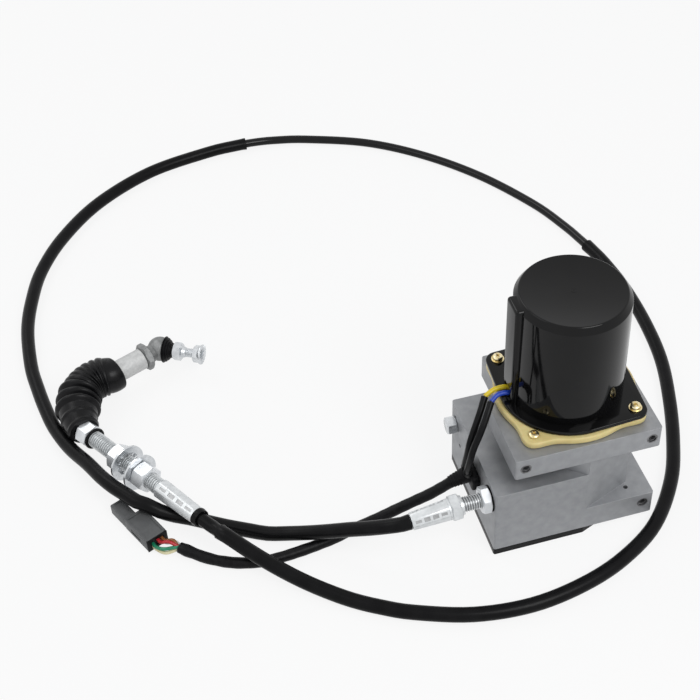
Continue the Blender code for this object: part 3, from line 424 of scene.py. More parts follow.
def carve(shape, tool, operation="DIFFERENCE"):
    """Cut a shape with another, join the two, or keep what they share."""
    pair = []
    for blank in (shape, tool):
        bmesh.ops.recalc_face_normals(blank, faces=blank.faces)
        mesh = bpy.data.meshes.new("blank")
        blank.to_mesh(mesh)
        blank.free()
        pair.append(bpy.data.objects.new("blank", mesh))
        bpy.context.scene.collection.objects.link(pair[-1])
    step = pair[0].modifiers.new("cut", "BOOLEAN")
    step.operation = operation
    step.solver = "EXACT"
    step.object = pair[1]
    depsgraph = bpy.context.evaluated_depsgraph_get()
    result = bmesh.new()
    result.from_mesh(pair[0].evaluated_get(depsgraph).data)
    for blank in pair:
        mesh = blank.data
        bpy.data.objects.remove(blank)
        bpy.data.meshes.remove(mesh)
    return result


def drill(shape, spots, radius, low, high, steps=24):
    """Round holes straight down through a shape."""
    bits = bmesh.new()
    for x, y in spots:
        bmesh.ops.create_cone(bits, cap_ends=True, segments=steps, radius1=radius, radius2=radius,
                              depth=high - low, matrix=Matrix.Translation((x, y, (low + high) / 2)))
    return carve(shape, bits)


def soften(shape, width, segments=3, steep=30):
    """Round every edge that is sharper than an angle."""
    edges = [edge for edge in shape.edges if edge.is_manifold and edge.calc_face_angle() > radians(steep)]
    bmesh.ops.bevel(shape, geom=edges, offset=width, segments=segments, profile=0.5, affect="EDGES",
                    material=-1, clamp_overlap=True)


spacer = bmesh.new()
bmesh.ops.create_circle(spacer, cap_ends=True, segments=160, radius=spacer_radius)
for vert in spacer.verts:
    off = (atan2(vert.co.y, vert.co.x) % (pi / 2)) - pi / 4
    vert.co *= (spacer_radius + ear_swell * exp(-(off / radians(11.5)) ** 2)) / spacer_radius
draw_up(spacer, spacer.faces[:], spacer_thickness)
soften(spacer, 1.7, 4, 60)
spacer = drill(spacer, ears, 2.2, -1, 7)
spacer = drill(spacer, [(0, 0)], 10, -1, 7, 40)
settle("spacer", spacer, flange_skin, stands_for=("motor_flange",),
       place=Matrix.Translation(motor_axis + Vector((0, 0, spacer_seat))))

# The bell is moulded in glossy black with a slightly dished top, a wire channel down its left side and a
# flange with two ears. It is hollow over the motor, and the wires leave by the mouth at the channel's foot.
bell_skin = surface("bell_gloss", (0.003, 0.003, 0.0032), (0.0045, 0.0045, 0.0048), (0.05, 0.10), patch=30,
                    grain=6.0, relief=0.01, shine=0.2)
bell_low = 106.8
bell_high = 203.0


def arc(radius, angles, x=0.0, z=0.0):
    """The points of a profile's round corner or ball, about its centre."""
    return [(x + radius * cos(a), z + radius * sin(a)) for a in angles]


def cuboid(shape, place, span):
    """Add a rectangular block, which a placement turns and carries."""
    bmesh.ops.create_cube(shape, size=1, matrix=place @ Matrix.Diagonal((*span, 1)))


outside = [(0, bell_low), (43.5, bell_low), (43.3, bell_low + 20), (42.6, bell_high - 5.6)]
for x, z, wide, start, stop in ((41.4, 5.4, 1.2, 0, 36), (38.4, 1.4, 1.4, 36, 90)):
    outside += arc(wide, (radians(start + (stop - start) * k / 5) for k in range(6)), x, bell_high - z)
outside += [(37.9, bell_high - 0.2), (2.4, bell_high - 0.35), (2.2, bell_high - 0.1),
            (0.7, bell_high - 0.15), (0.6, bell_high - 0.02), (0, bell_high - 0.02)]
bell = turned(outside, 160)
channel = bmesh.new()
cuboid(channel, Matrix.Translation((-41.6, 1, (bell_low + bell_high - 1.7) / 2)),
       (9.2, 20, bell_high - 2.2 - bell_low - 0.5))
soften(channel, 2.6, 5)
bell = carve(bell, channel, "UNION")
rim = bmesh.new()
for height in (bell_low, bell_low + 3.5):
    bmesh.ops.create_circle(rim, segments=120, radius=51, matrix=Matrix.Translation((0, 0, height)))
    for x, y in (ears[1], ears[3]):
        bmesh.ops.create_circle(rim, segments=40, radius=9, matrix=Matrix.Translation((x, y, height)))
hull = bmesh.ops.convex_hull(rim, input=rim.verts)
within = list({vert for vert in hull["geom_interior"] if isinstance(vert, bmesh.types.BMVert)})
bmesh.ops.delete(rim, geom=within, context="VERTS")
bmesh.ops.dissolve_limit(rim, angle_limit=radians(0.5), verts=rim.verts, edges=rim.edges)
soften(rim, 0.9, 3, 60)
bell = carve(bell, rim, "UNION")
hollow = turned([(0, bell_low - 3), (39.5, bell_low - 3), (39.5, bell_high - 9), (34.5, bell_high - 3),
                 (0, bell_high - 3)], 64)
bell = carve(bell, hollow)
passage = bmesh.new()
cuboid(passage, Matrix.Translation((-39.5, 1, 154.3)), (9, 14, 87))
bell = carve(bell, passage)
mouth = bmesh.new()
cuboid(mouth, Matrix.Translation((-46, 1, 117.05)), (8, 12, 10.5))
soften(mouth, 1.2, 3)
bell = carve(bell, mouth)
bell = drill(bell, [ears[1], ears[3]], 2.4, bell_low - 2, bell_low + 6)
settle("bell", bell, bell_skin, stands_for=("motor_cover",),
       place=Matrix.Translation(motor_axis), sharp=30)

# Four pan head screws in yellow zinc, with cross recesses. The two on the bell's ears have a flat and a
# spring washer under the head; the two on the spacer sit straight on it.
yellow_zinc_skin = surface("yellow_zinc", (0.66, 0.52, 0.24), (0.84, 0.76, 0.52), (0.20, 0.34), 1.0,
                           patch=2.6, grain=0.5, relief=0.01)
screw_foot = 89.5
bell_ear_top = 110.6
spacer_top = 106.8
for name, (x, y), seat, washers in (("cover_screw_1", ears[1], bell_ear_top, True),
                                    ("cover_screw_2", ears[3], bell_ear_top, True),
                                    ("flange_screw_1", ears[0], spacer_top, False),
                                    ("flange_screw_2", ears[2], spacer_top, False)):
    lift = 1.6 if washers else 0.0
    head = [(0, screw_foot), (1.4, screw_foot), (1.9, screw_foot + 1), (1.9, seat + lift),
            (3.8, seat + lift), (4.0, seat + lift + 0.3), (3.95, seat + lift + 1.2)]
    head += [(3.95 * cos(a), seat + lift + 1.2 + 1.35 * sin(a))
             for a in (pi / 2 * k / 5 for k in range(1, 5))]
    screw = turned(head + [(0, seat + lift + 2.55)], 40)
    for turn in (0.4, 0.4 + pi / 2):
        cross = bmesh.new()
        bmesh.ops.create_cone(cross, cap_ends=True, segments=4, radius1=0.35, radius2=3.3, depth=2.6,
                              matrix=Matrix.Translation((0, 0, seat + lift + 1.7))
                              @ Matrix.Rotation(turn, 4, "Z")
                              @ Matrix.Diagonal((1.0, 0.27, 1, 1)) @ Matrix.Rotation(pi / 4, 4, "Z"))
        screw = carve(screw, cross)
    if washers:
        lathe(screw, [(2.3, seat), (5.0, seat), (5.0, seat + 0.75), (2.3, seat + 0.75)], 40)
        lathe(screw, [(2.2, seat + 0.8), (4.2, seat + 0.8), (4.2, seat + 1.55), (2.2, seat + 1.55)], 40)
    settle(f"dressed_{name}", screw, yellow_zinc_skin, stands_for=(name,),
           place=Matrix.Translation(motor_axis + Vector((x, y, 0))))

# A hex bolt of bright zinc-plated steel is screwed into the left face near its back. Its head is chamfered
# on the outside only and has a round washer face forged under it.
zinc_skin = surface("bright_zinc", (0.56, 0.58, 0.60), (0.68, 0.70, 0.72), (0.18, 0.30), 0.9, patch=4,
                    grain=0.9, relief=0.004)


def hex_nut(flats, low, high, bore=0.0, turn=0.0, one_end=False):
    """A hexagon with turned chamfers, and a hole of radius bore where it is a nut."""
    shape = bmesh.new()
    bmesh.ops.create_cone(shape, cap_ends=True, segments=6, radius1=flats / sqrt(3), radius2=flats / sqrt(3),
                          depth=high - low, matrix=Matrix.Translation((0, 0, (low + high) / 2))
                          @ Matrix.Rotation(turn, 4, "Z"))
    face, corner_reach = flats * 0.475, flats / sqrt(3) + 0.2
    drop = (corner_reach - face) * 0.55
    lower = [(corner_reach, low - 0.1)] if one_end else [(face, low), (corner_reach, low + drop)]
    blank = turned([(0, low - (0.1 if one_end else 0))] + lower
                   + [(corner_reach, high - drop), (face, high), (0, high)], 60)
    shape = carve(shape, blank, "INTERSECT")
    if bore:
        shape = drill(shape, [(0, 0)], bore, low - 1, high + 1, 40)
    return shape


bolt = hex_nut(13, 1.1, 8.0, turn=0.2, one_end=True)
lathe(bolt, [(0, -12), (3.7, -12), (3.7, 0.4), (6.3, 0.4), (6.3, 1.15), (0, 1.15)], 40)
settle("hex_bolt", bolt, zinc_skin, stands_for=("side_bolt",),
       place=toward(corner(0, 95, 50), (-1, 0, 0)))

# The wires enter the housing through a rubber boot pressed into its left face. A ribbed strain relief grips
# the loom there, and a short collar each of the motor's leads.
boot_skin = surface("boot_rubber", (0.004, 0.004, 0.0045), (0.008, 0.008, 0.009), (0.38, 0.56), patch=5,
                    grain=0.7, relief=0.04, shine=0.1)
boot = bmesh.new()
cuboid(boot, Matrix.Translation((0, 0, 3.4)), (26, 14, 6.2))
upright = [edge for edge in boot.edges if abs(edge.verts[0].co.z - edge.verts[1].co.z) > 1]
bmesh.ops.bevel(boot, geom=upright, offset=4, segments=6, profile=0.5, affect="EDGES", material=-1)
soften(boot, 1.4, 4, 60)
bmesh.ops.create_cone(boot, cap_ends=True, segments=32, radius1=5, radius2=5, depth=6,
                      matrix=Matrix.Translation((0, 0, -2.4)))
boot_turn = Matrix(((0, 0, -1), (-1, 0, 0), (0, 1, 0))).to_4x4()
settle("wire_boot", boot, boot_skin, stands_for=("harness_boot",),
       place=Matrix.Translation(corner(0, 46.5, 44.5)) @ boot_turn)
grip_ribs = [(r, 3 + k * 2.4 + dz) for k, r0 in enumerate((6.1, 5.8, 5.5, 5.2))
             for r, dz in ((r0, 0.2), (r0, 1.2), (r0 - 0.45, 1.4), (r0 - 0.45, 2.2))]
grip = turned([(4.5, -2.2), (6.6, -2.2), (6.4, 2)] + grip_ribs + [(4.9, 13.4), (4.5, 13.4)], 40)
loom_way = Vector(harness_route[1]) - Vector(harness_route[0])
settle("loom_strain_relief", grip, boot_skin,
       place=toward(Vector(harness_route[0]) + Vector((1.2, 0, 0.6)), loom_way))
for i, route in enumerate(lead_routes):
    collar = turned([(2.6, -3.8), (3.6, -3.8), (3.4, 3.0), (3.1, 3.6), (2.6, 3.6)], 32)
    settle(f"lead_collar_{i + 1}", collar, boot_skin,
           place=toward(route[-1], Vector(route[-2]) - Vector(route[-1])))

# The cable is held in the left face by a zinc-plated jam nut, run up on the hub's thread against a black
# sealing ring.
nut_place = toward(corner(0, 13, 52), (-1, 0, 0))
nut_skin = surface("nut_zinc", (0.74, 0.76, 0.78), (0.84, 0.86, 0.88), (0.30, 0.42), 0.55, patch=5,
                   grain=0.8, relief=0.004)
settle("near_jam_nut", hex_nut(19, 0.9, 8.0, bore=6.3, turn=0.1), nut_skin, stands_for=("jam_nut",),
       place=nut_place)
settle("jam_nut_ring", turned([(6.4, 0.1), (10.2, 0.1), (10.2, 0.8), (6.4, 0.8)]), boot_skin,
       place=nut_place)

# The near hub is a threaded stub, a wrench hexagon and a sleeve crimped down on the cable, all in one piece
# of zinc-plated steel. The crimping die leaves flats with rows of shallow rectangular dents.
crimp_skin = surface("crimped_zinc", (0.62, 0.64, 0.65), (0.74, 0.76, 0.77), (0.28, 0.40), 0.6, patch=4.5,
                     grain=1.4, relief=0.003)
# A mid grey zinc for thin plates at the dents' bottoms: painted shade in the crimp marks.
dent_shade_skin = surface("dent_painted_shade", (0.34, 0.345, 0.35), (0.44, 0.445, 0.45), (0.30, 0.42), 0.8, patch=2,
                    grain=0.8, relief=0.01)
# A dark zinc for the shanks under the threads: painted shade in the grooves between the ridges.
thread_root_shade_skin = surface("thread_root_painted_shade", (0.13, 0.135, 0.14), (0.22, 0.225, 0.23), (0.34, 0.5), 0.8, patch=2,
                    grain=0.8, relief=0.01)


def crimped(start, end, low, high, dents, turn):
    """A tapered sleeve with eight flats, each second one dented in a row, and the dents' bottoms as painted
    shade.
    """
    shape = bmesh.new()
    bmesh.ops.create_cone(shape, cap_ends=True, segments=8, radius1=start / cos(pi / 8),
                          radius2=end / cos(pi / 8), depth=high - low,
                          matrix=Matrix.Translation((0, 0, (low + high) / 2))
                          @ Matrix.Rotation(turn, 4, "Z"))
    soften(shape, 0.9, 3, 20)
    marks, shade_plates = bmesh.new(), bmesh.new()
    slope = (end - start) / (high - low)
    for side in range(4):
        spin = turn + pi / 8 + side * pi / 2
        for k in range(dents):
            z = low + (high - low) * (k + 0.75) / (dents + 0.5)
            wide, deep = (3.4, 0.7) if (k + side) % 3 else (2.4, 0.5)
            tall = (high - low) / (dents + 0.5) * 0.7
            # Boxes cut the dents; thin plates at their bottoms are painted shade.
            for target, inward, thick in ((marks, 0, 2 * deep), (shade_plates, deep, 0.5)):
                spot = (Matrix.Rotation(spin, 4, "Z")
                        @ Matrix.Translation((start + slope * (z - low) - inward, 0, z)))
                cuboid(target, spot @ Matrix.Rotation(slope, 4, "Y"), (thick, wide, tall))
    return carve(shape, marks), shade_plates


knee = corner(-23, 13, 52)
knee_way = corner(-62, 12.5, 48) - knee
hub, near_dent_shade = crimped(start=7.9, end=6.5, low=9.5, high=knee_way.length, dents=4, turn=0.2)
lathe(hub, [(0, 8), (8.4, 8), (8.4, 10), (7.2, 10.6), (0, 10.6)], 40)
seam = turned([(0, -1.2), (7.4, -1.2), (7.8, 0.4), (7.8, 3), (0, 3)], 40)
wrench_flats = carve(hex_nut(19, 1, 8.5, turn=0.35), seam, "UNION")
wrench_flats = drill(wrench_flats, [(0, 0)], 3.6, -2, 6.8, 32)
merge(hub, wrench_flats)
bmesh.ops.transform(hub, matrix=toward(knee, knee_way), verts=hub.verts)
stub = bmesh.new()
thread(stub, radius=6.05, pitch=1.9, depth=0.75, start=2, end=24, steps=32)
bmesh.ops.transform(stub, matrix=nut_place, verts=stub.verts)
merge(hub, stub)
settle("near_cable_hub", hub, crimp_skin, stands_for=("near_hub",))
settle("near_hub_dent_shade", near_dent_shade, dent_shade_skin, place=toward(knee, knee_way))
# The shank under the stub's thread is painted dark, as shade between the ridges.
settle("near_hub_shank_shade", turned([(3.4, -5.5), (5.3, -5.5), (5.3, 26), (3.4, 26)], 40), thread_root_shade_skin,
       place=nut_place)

# The far end is crimped the same way onto a long stud with a rolled thread, whose grooves are painted dark
# as shade. Two nuts with lock washers clamp it in a bracket: one washer is plain and the other has star
# teeth inside.
stud_place = toward(Vector((-270.5, 27.9, 25.5)), Vector((-71.4, 122.7, -5.9)).normalized())
stud, far_dent_shade = crimped(start=6.7, end=7.9, low=0, high=44, dents=4, turn=0.7)
lathe(stud, [(0, 43.5), (7.6, 43.5), (6.0, 45.5), (0, 45.5)], 40)
thread(stud, radius=6.8, pitch=2.2, depth=1.1, start=45.0, end=130, steps=32)
roots = turned([(0, 44), (5.7, 44), (5.7, 141), (5.4, 142.5), (0, 142.5)], 40)
far_stud = settle("far_stud", stud, crimp_skin, stands_for=("far_hub",), place=stud_place)
far_dent_shade = settle("far_stud_dent_shade", far_dent_shade, dent_shade_skin, place=stud_place)
far_root_shade = settle("far_stud_root_shade", roots, thread_root_shade_skin, place=stud_place)
lip = turned([(5.9, -3.4), (6.9, -3.4), (7.4, 0.2), (7.1, 1.4), (6.6, 1.4)], 40)
far_lip = settle("far_sleeve_lip", lip, sleeve_skin, place=stud_place)
stud_nut_flats = 19.6
stud_nut_height = 12.5
far_nuts = [settle(f"stud_nut_{i + 1}",
                   hex_nut(stud_nut_flats, low, low + stud_nut_height, bore=7.0, turn=turn),
                   nut_skin, stands_for=(f"far_nut_{i + 1}",), place=stud_place)
            for i, (low, turn) in enumerate(((57.0, 0.45), (87.6, 0.28)))]


def teeth(shape, count, radius, height, span):
    """A ring of small blocks, each tilted round its own spoke."""
    for k in range(count):
        spoke = Matrix.Rotation(tau * k / count, 4, "Z") @ Matrix.Translation((radius, 0, height))
        cuboid(shape, spoke @ Matrix.Rotation(0.6, 4, "X"), span)


for i, (low, hole) in enumerate(((69.8, 7.2), (84.6 + 0.9, 9.8))):
    washer = turned([(hole, low), (15.2, low), (15.4, low + 0.25), (15.4, low + 1.55), (15.2, low + 1.8),
                     (hole, low + 1.8)], 80)
    if i:
        teeth(washer, 10, 8.6, low + 0.6, (3.0, 2.2, 0.7))
    settle(f"lock_washer_{i + 1}", washer, zinc_skin,
                              stands_for=(f"far_washer_{i + 1}",), place=stud_place)
swivel = settle("swivel_hex", hex_nut(17.4, 129.6, 141.6, bore=6.3, turn=0.45), nut_skin,
                stands_for=("swivel_nut",), place=stud_place)
o_ring = turned(arc(1.3, (tau * k / 12 for k in range(12)), 7.9, 128.1))
far_ring = settle("swivel_ring", o_ring, boot_skin, place=stud_place)

# The bellows is a rubber sleeve between the swivel and the sliding rod: a cone with two small ribs, big ribs
# round the bend, finer ribs, and a smooth cuff. It is turned straight and then bent along its middle line.
bellows_skin = surface("bellows_rubber", (0.0035, 0.0035, 0.004), (0.007, 0.007, 0.008), (0.22, 0.36),
                       patch=8, grain=0.8, relief=0.03, shine=0.16)
rod_way = Vector((0.913, 0.407, 0)).normalized()
ball_centre = Vector((-266.8, 227.8, 19.8))
bellows_mouth = ball_centre - rod_way * 43.6
bend = smooth_line([(-341.6, 149.4, 19.7), (-343.5, 158.5, 19.7), (-344.0, 170, 19.8), (-342.0, 184, 19.8),
                    (-336.8, 197, 19.8), (-328, 205.2, 19.8), (-317, 208.3, 19.8),
                    bellows_mouth - rod_way * 6, bellows_mouth], 0.8)
travelled = [0.0]
for a, b in zip(bend, bend[1:]):
    travelled.append(travelled[-1] + (b - a).length)


def rib(share):
    """The sleeve's outer radius along its length, with the ribs' tops kept inside the solid's."""
    if share < 0.26:
        return 12.0 + 3.8 * share / 0.26 + 0.8 * max(0.0, sin(2 * tau * share / 0.26)) ** 3
    if share < 0.56:
        wave = cos(3 * tau * (share - 0.26) / 0.30 + pi)
        return 17.1 + 2.0 * wave - 0.6 * wave * wave
    if share < 0.875:
        return 16.9 - 1.1 * abs(cos(3 * tau * (share - 0.56) / 0.315)) ** 4 * (1.0 if share > 0.57 else 0.6)
    return 15.4 - 0.9 * (share - 0.875) / 0.125 - 0.7 * max(0.0, (share - 0.985) / 0.015) ** 2


outer_wall = [(rib(share), share) for share in (k / 200 for k in range(201))]
inner_wall = [(12.2, 1), (11.6, 0.97), (11.6, 0.90), (12.6, 0.7), (12.6, 0.3), (9.6, 0.04), (7.4, 0.02),
              (7.2, 0)]
sleeve = turned(outer_wall + inner_wall, 72)
for vert in sleeve.verts:
    at = min(vert.co.z, 1) * travelled[-1]
    i = max(k for k, d in enumerate(travelled) if d <= at + 1e-6)
    i = min(i, len(bend) - 2)
    part = (at - travelled[i]) / (travelled[i + 1] - travelled[i])
    along = (bend[min(i + 2, len(bend) - 1)] - bend[max(i - 1, 0)]).normalized()
    side = along.cross(Vector((0, 0, 1))).normalized()
    vert.co = bend[i].lerp(bend[i + 1], part) + side * vert.co.x + side.cross(along) * vert.co.y
bellows = settle("ribbed_bellows", sleeve, bellows_skin, body=None, stands_for=("bellows",),
                 sharp=60)
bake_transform(bellows)

# The rod slides in the bellows' cuff. It is a blasted light grey tube with a thin metal ring at the cuff, a
# hexagon at its end, and a cast ball socket screwed on.
rod_skin = surface("blasted_zinc", (0.54, 0.545, 0.54), (0.64, 0.645, 0.64), (0.50, 0.70), 0.35, patch=2.5,
                   grain=0.5, relief=0.05)
cast_skin = surface("cast_zinc", (0.20, 0.205, 0.205), (0.28, 0.285, 0.285), (0.42, 0.60), 0.6, patch=3.5,
                    grain=0.6, relief=0.05)
rod_place = toward(ball_centre, rod_way)
tube = turned([(0, -56.2), (8.2, -56.2), (9.2, -55.2), (9.2, -18.6), (8.9, -18.3), (0, -18.3)], 64)
settle("sliding_rod", tube, rod_skin, body="rod_end", stands_for=("rod_tube",),
       place=rod_place)
neck = turned([(0, -12.6), (9.0, -12.6), (7.6, -10.4), (7.3, -7.6), (0, -7.6)])
socket = carve(hex_nut(21, -17.9, -11.9, turn=0.3), neck, "UNION")
bmesh.ops.transform(socket, matrix=rod_place, verts=socket.verts)
mouth_way = Vector((0.877, -0.480, 0)).normalized()
ball_place = toward(ball_centre, mouth_way)
around = arc(10.6, (-pi / 2 + k * radians(136) / 14 for k in range(1, 15)))
inside = arc(6.9, (radians(46) - k * radians(136) / 12 for k in range(12)))
cup = turned([(0, -10.6)] + around + inside + [(0, -6.9)], 56)
bmesh.ops.transform(cup, matrix=ball_place, verts=cup.verts)
socket = carve(socket, cup, "UNION")
settle("cast_socket", socket, cast_skin, body="rod_end", stands_for=("ball_socket",))

# The ball stud swings in the socket: a hexagon, a tapered neck and an M8 thread, with a ribbed rubber boot
# over the ball and a serrated flange nut run on to the end.
ball = arc(6.6, (-pi / 2 + k * radians(152) / 12 for k in range(1, 13)))
shank = turned([(0, -6.6)] + ball
               + [(3.0, 7.2), (3.0, 13), (6.6, 13), (6.6, 20.2), (5.2, 20.6), (4.2, 23.5), (3.55, 24),
                  (3.55, 39.6), (3.1, 40), (0, 40)], 40)
swing_stud = carve(hex_nut(14, 12.9, 20, turn=0.5), shank, "UNION")
thread(swing_stud, radius=3.95, pitch=1.25, depth=0.5, start=23.4, end=40.2)
settle("swing_stud", swing_stud, zinc_skin, body="ball_stud", stands_for=("ball_stud",),
       place=ball_place)
boot_shell = []
for k in range(33):
    a = radians(22) + radians(44) * k / 32
    boot_shell += arc(11.9 + 0.5 * cos(k * tau / 8), [a])
boot_lining = arc(10.9, (radians(66) - radians(44) * k / 8 for k in range(9)))
cap = turned(boot_lining + boot_shell + [(6.4, 11.6), (6.4, 12.4), (3.4, 12.4), (3.4, 10.4)], 56)
settle("ribbed_boot", cap, boot_skin, body="ball_stud", stands_for=("ball_boot",),
       place=ball_place)
nut_flange = turned([(4.2, 34.6), (6.6, 34.6), (8.4, 36.6), (8.7, 37.4), (8.5, 38.4), (6.0, 38.4),
                     (5.4, 37.4), (4.2, 37.4)], 56)
end_nut = carve(hex_nut(13, 30.6, 36.4, bore=4.2, turn=0.2), nut_flange, "UNION")
serration = bmesh.new()
teeth(serration, 18, 7.6, 38.5, (4, 1.0, 1.0))
end_nut = carve(end_nut, serration)
settle("serrated_nut", end_nut, zinc_skin, body="ball_stud", stands_for=("stud_nut",),
       place=ball_place)

# The connector lies on its side on the floor: a dark grey shell with rails, a latch window in its side and a
# narrower mating half. A black seal closes the wire end, and five wires fan out from it to the taped loom.
plug_skin = surface("plug_resin", (0.095, 0.098, 0.10), (0.12, 0.123, 0.125), (0.40, 0.56), patch=9,
                    grain=0.4, relief=0.02, shine=0.3)
plug_end = Vector((-304.3, 30.2, 0))
plug_way = Vector((-0.417, 0.909, 0)).normalized()
plug_turn = Matrix((plug_way.cross(Vector((0, 0, 1))), plug_way, Vector((0, 0, 1)))).transposed()
plug_place = Matrix.Translation(plug_end) @ plug_turn.to_4x4()


def blocks(*boxes):
    """Rectangular blocks, each given by its lowest and highest corner."""
    shape = bmesh.new()
    for low, high in boxes:
        middle = [(a + b) / 2 for a, b in zip(low, high)]
        cuboid(shape, Matrix.Translation(middle), [b - a for a, b in zip(low, high)])
    return shape


wire_opening = ((-6, -3, 3), (6, 5, 9.4))
plug = blocks(((-9, 0, 0.4), (9, 31, 12.0)))
soften(plug, 0.8, 3)
half = blocks(((-9, 30, 1.0), (2, 51, 11.0)))
soften(half, 1.0, 3)
plug = carve(plug, half, "UNION")
plug = carve(plug, blocks(((-6.6, 2.2, 11.3), (6.8, 28.6, 13.5)), wire_opening,
                          ((-10, 10, 3.4), (-7.2, 22, 8.0)), ((-6.4, 33, 10.4), (-0.6, 49, 12))))
for low, high in (((-8.95, 0.6, 11.2), (-7.2, 30.2, 12.4)), ((7.2, 0.6, 11.2), (8.95, 30.2, 12.4)),
                  ((-8.8, 28.4, 11.1), (8.8, 30.0, 12.35)), ((-8.95, 31.5, 9.8), (-7.4, 50, 11.0)),
                  ((-8.7, 8, 4.7), (-7.9, 24, 6.7))):
    rail = blocks((low, high))
    soften(rail, 0.3, 2)
    plug = carve(plug, rail, "UNION")
plug_shell = settle("plug_shell", plug, plug_skin, stands_for=("connector",),
                    place=plug_place, sharp=30)
seal = blocks(((-5.9, 0.4, 3.1), (5.9, 4.7, 9.3)))
soften(seal, 0.6, 2)
seal_piece = settle("plug_seal", seal, boot_skin, stands_for=("connector_seal",),
                    place=plug_place)
frame_ring = carve(blocks(((-9, -0.7, 0.4), (9, 0.3, 12.0))), blocks(wire_opening))
frame_piece = settle("plug_wire_cover", frame_ring, boot_skin, place=plug_place)
plug_wire_thickness = 2.8
loom_end = Vector(harness_route[-1])
for i, (name, dark, light, x, z, out) in enumerate((
        ("brown", (0.20, 0.07, 0.02), (0.30, 0.11, 0.03), 4.0, 7.6, (1.0, 1.0, 3.0)),
        ("red", (0.42, 0.012, 0.02), (0.55, 0.02, 0.03), 0.6, 8.2, (-1.5, 0.5, 4.0)),
        ("green", (0.010, 0.20, 0.10), (0.015, 0.28, 0.14), -3.6, 6.0, (-3.5, -1.5, 1.2)),
        ("cream", (0.70, 0.62, 0.36), (0.80, 0.74, 0.48), -3.8, 3.9, (-3.0, -2.5, -1.5)),
        ("white", (0.70, 0.70, 0.68), (0.80, 0.80, 0.78), 4.4, 4.6, (3.0, 1.5, 0.5)))):
    skin = surface(f"{name}_insulation", dark, light, (0.30, 0.42), patch=5, grain=0.8, relief=0.02)
    start = plug_place @ Vector((x, 1.2, z))
    leave = plug_place @ Vector((x * 1.05, -4.5, z))
    bowed = leave.lerp(loom_end, 0.55) + Vector(out)
    gathered = loom_end + Vector((i % 2 - 0.5, 0, i % 3 - 1))
    line = smooth_line([start, leave, bowed, gathered, loom_end + Vector((3.5, -3.2, 0))], 1.5)
    round_lead(f"plug_wire_{name}", line, plug_wire_thickness, skin)

# Inside are the motor, the gear train, the rack and the position sensor, and the screws that close the case.
# They only show when the case is opened, and take ground, cut and moulded finishes.
steel_skin = surface("ground_steel", (0.40, 0.405, 0.42), (0.52, 0.525, 0.54), (0.22, 0.40), 1.0, patch=6,
                     stretch=(1, 1, 6), grain=0.5, relief=0.01, edge=0.15)
bronze_skin = surface("cut_bronze", (0.50, 0.33, 0.15), (0.62, 0.44, 0.22), (0.26, 0.42), 1.0, patch=7,
                      grain=0.5, relief=0.01, edge=0.15)
case_screw_skin = surface("cover_screw_zinc", (0.60, 0.62, 0.64), (0.76, 0.78, 0.79), (0.20, 0.34), 1.0,
                          patch=4, grain=0.6, relief=0.01, edge=0.15)
sensor_skin = surface("sensor_resin", (0.030, 0.032, 0.034), (0.050, 0.052, 0.055), (0.40, 0.58), patch=8,
                      grain=0.5, relief=0.02, edge=0.2)
dress(steel_skin, "lower_bearing", "upper_bearing", "motor_stator", "rotor_core", "rotor_shaft",
      "motor_pinion", "intermediate_pin", "intermediate_pinion", "output_shaft", "output_pinion", "rack",
      "plate_screw_1", "plate_screw_2", "plate_screw_3", "plate_screw_4")
dress(bronze_skin, "intermediate_gear", "output_gear")
dress(sensor_skin, "position_sensor", "motor_end_bell")
dress(case_screw_skin, "bottom_cover_screw_1", "bottom_cover_screw_2", "bottom_cover_screw_3",
      "bottom_cover_screw_4")

# The part stands on a plain white table with a matt top. Camera and gloss rays see the table as white for
# the most part, and the rest of what they see keeps the part's shadow.
table_size = 4
table_drop = 0.0004
table_share_white = 0.86
table = bmesh.new()
bmesh.ops.create_grid(table, x_segments=1, y_segments=1, size=table_size)
table_mesh = bpy.data.meshes.new("table")
table.to_mesh(table_mesh)
table.free()
table_piece = bpy.data.objects.new("table", table_mesh)
table_piece.location.z = -table_drop
bpy.context.scene.collection.objects.link(table_piece)


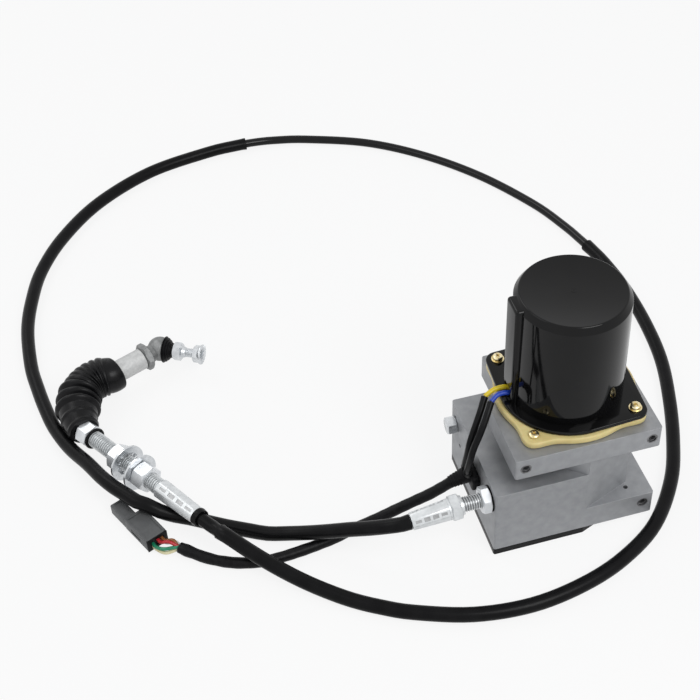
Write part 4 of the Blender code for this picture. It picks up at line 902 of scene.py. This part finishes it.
def show_white(tree, lit, white, share, output):
    """Camera and gloss rays see so much of a plain white; all others see only the lit surface."""
    rays = tree.nodes.new("ShaderNodeLightPath")
    seen = tree.nodes.new("ShaderNodeMath")
    seen.operation = "MAXIMUM"
    part = tree.nodes.new("ShaderNodeMath")
    part.operation = "MULTIPLY"
    part.inputs[1].default_value = share
    mixed = tree.nodes.new("ShaderNodeMixShader")
    tree.links.new(rays.outputs["Is Camera Ray"], seen.inputs[0])
    tree.links.new(rays.outputs["Is Glossy Ray"], seen.inputs[1])
    tree.links.new(seen.outputs["Value"], part.inputs[0])
    tree.links.new(part.outputs["Value"], mixed.inputs["Fac"])
    tree.links.new(lit, mixed.inputs[1])
    tree.links.new(white, mixed.inputs[2])
    tree.links.new(mixed.outputs["Shader"], tree.nodes[output].inputs["Surface"])


table_skin = bpy.data.materials.new("table_white")
table_skin.use_nodes = True
tree = table_skin.node_tree
paper = tree.nodes["Principled BSDF"]
paper.inputs["Base Color"].default_value = (0.80, 0.80, 0.80, 1)
paper.inputs["Roughness"].default_value = 0.9
glow = tree.nodes.new("ShaderNodeEmission")
glow.inputs["Strength"].default_value = 1.0
show_white(tree, paper.outputs["BSDF"], glow.outputs["Emission"], table_share_white, "Material Output")
table_mesh.materials.append(table_skin)

# The room gives an even, faintly cool light, and the camera and gloss see it as plain white. Three large
# soft lamps add the shape: the key in front, a weak one on the left and one behind.
world = bpy.data.worlds.new("studio")
bpy.context.scene.world = world
world.use_nodes = True
tree = world.node_tree
room = tree.nodes["Background"]
room.inputs["Color"].default_value = (0.95, 0.97, 1.0, 1)
room.inputs["Strength"].default_value = 0.45
white = tree.nodes.new("ShaderNodeBackground")
white.inputs["Color"].default_value = (1, 1, 1, 1)
white.inputs["Strength"].default_value = 1.0
show_white(tree, room.outputs["Background"], white.outputs["Background"], 1.0, "World Output")
for name, place, aim, size, power in (("key_lamp", (0.5, -1.2, 1.7), (-0.05, 0.1, 0), 1.0, 20),
                                      ("side_lamp", (-1.5, 0.2, 1.6), (-0.1, 0.1, 0.05), 1.0, 4),
                                      ("back_lamp", (-1.0, 1.5, 1.7), (-0.1, 0.1, 0), 0.9, 6)):
    lamp = bpy.data.lights.new(name, "AREA")
    lamp.size = size
    lamp.energy = power
    lamp_object = bpy.data.objects.new(name, lamp)
    lamp_object.matrix_world = toward(place, Vector(place) - Vector(aim))
    bpy.context.scene.collection.objects.link(lamp_object)
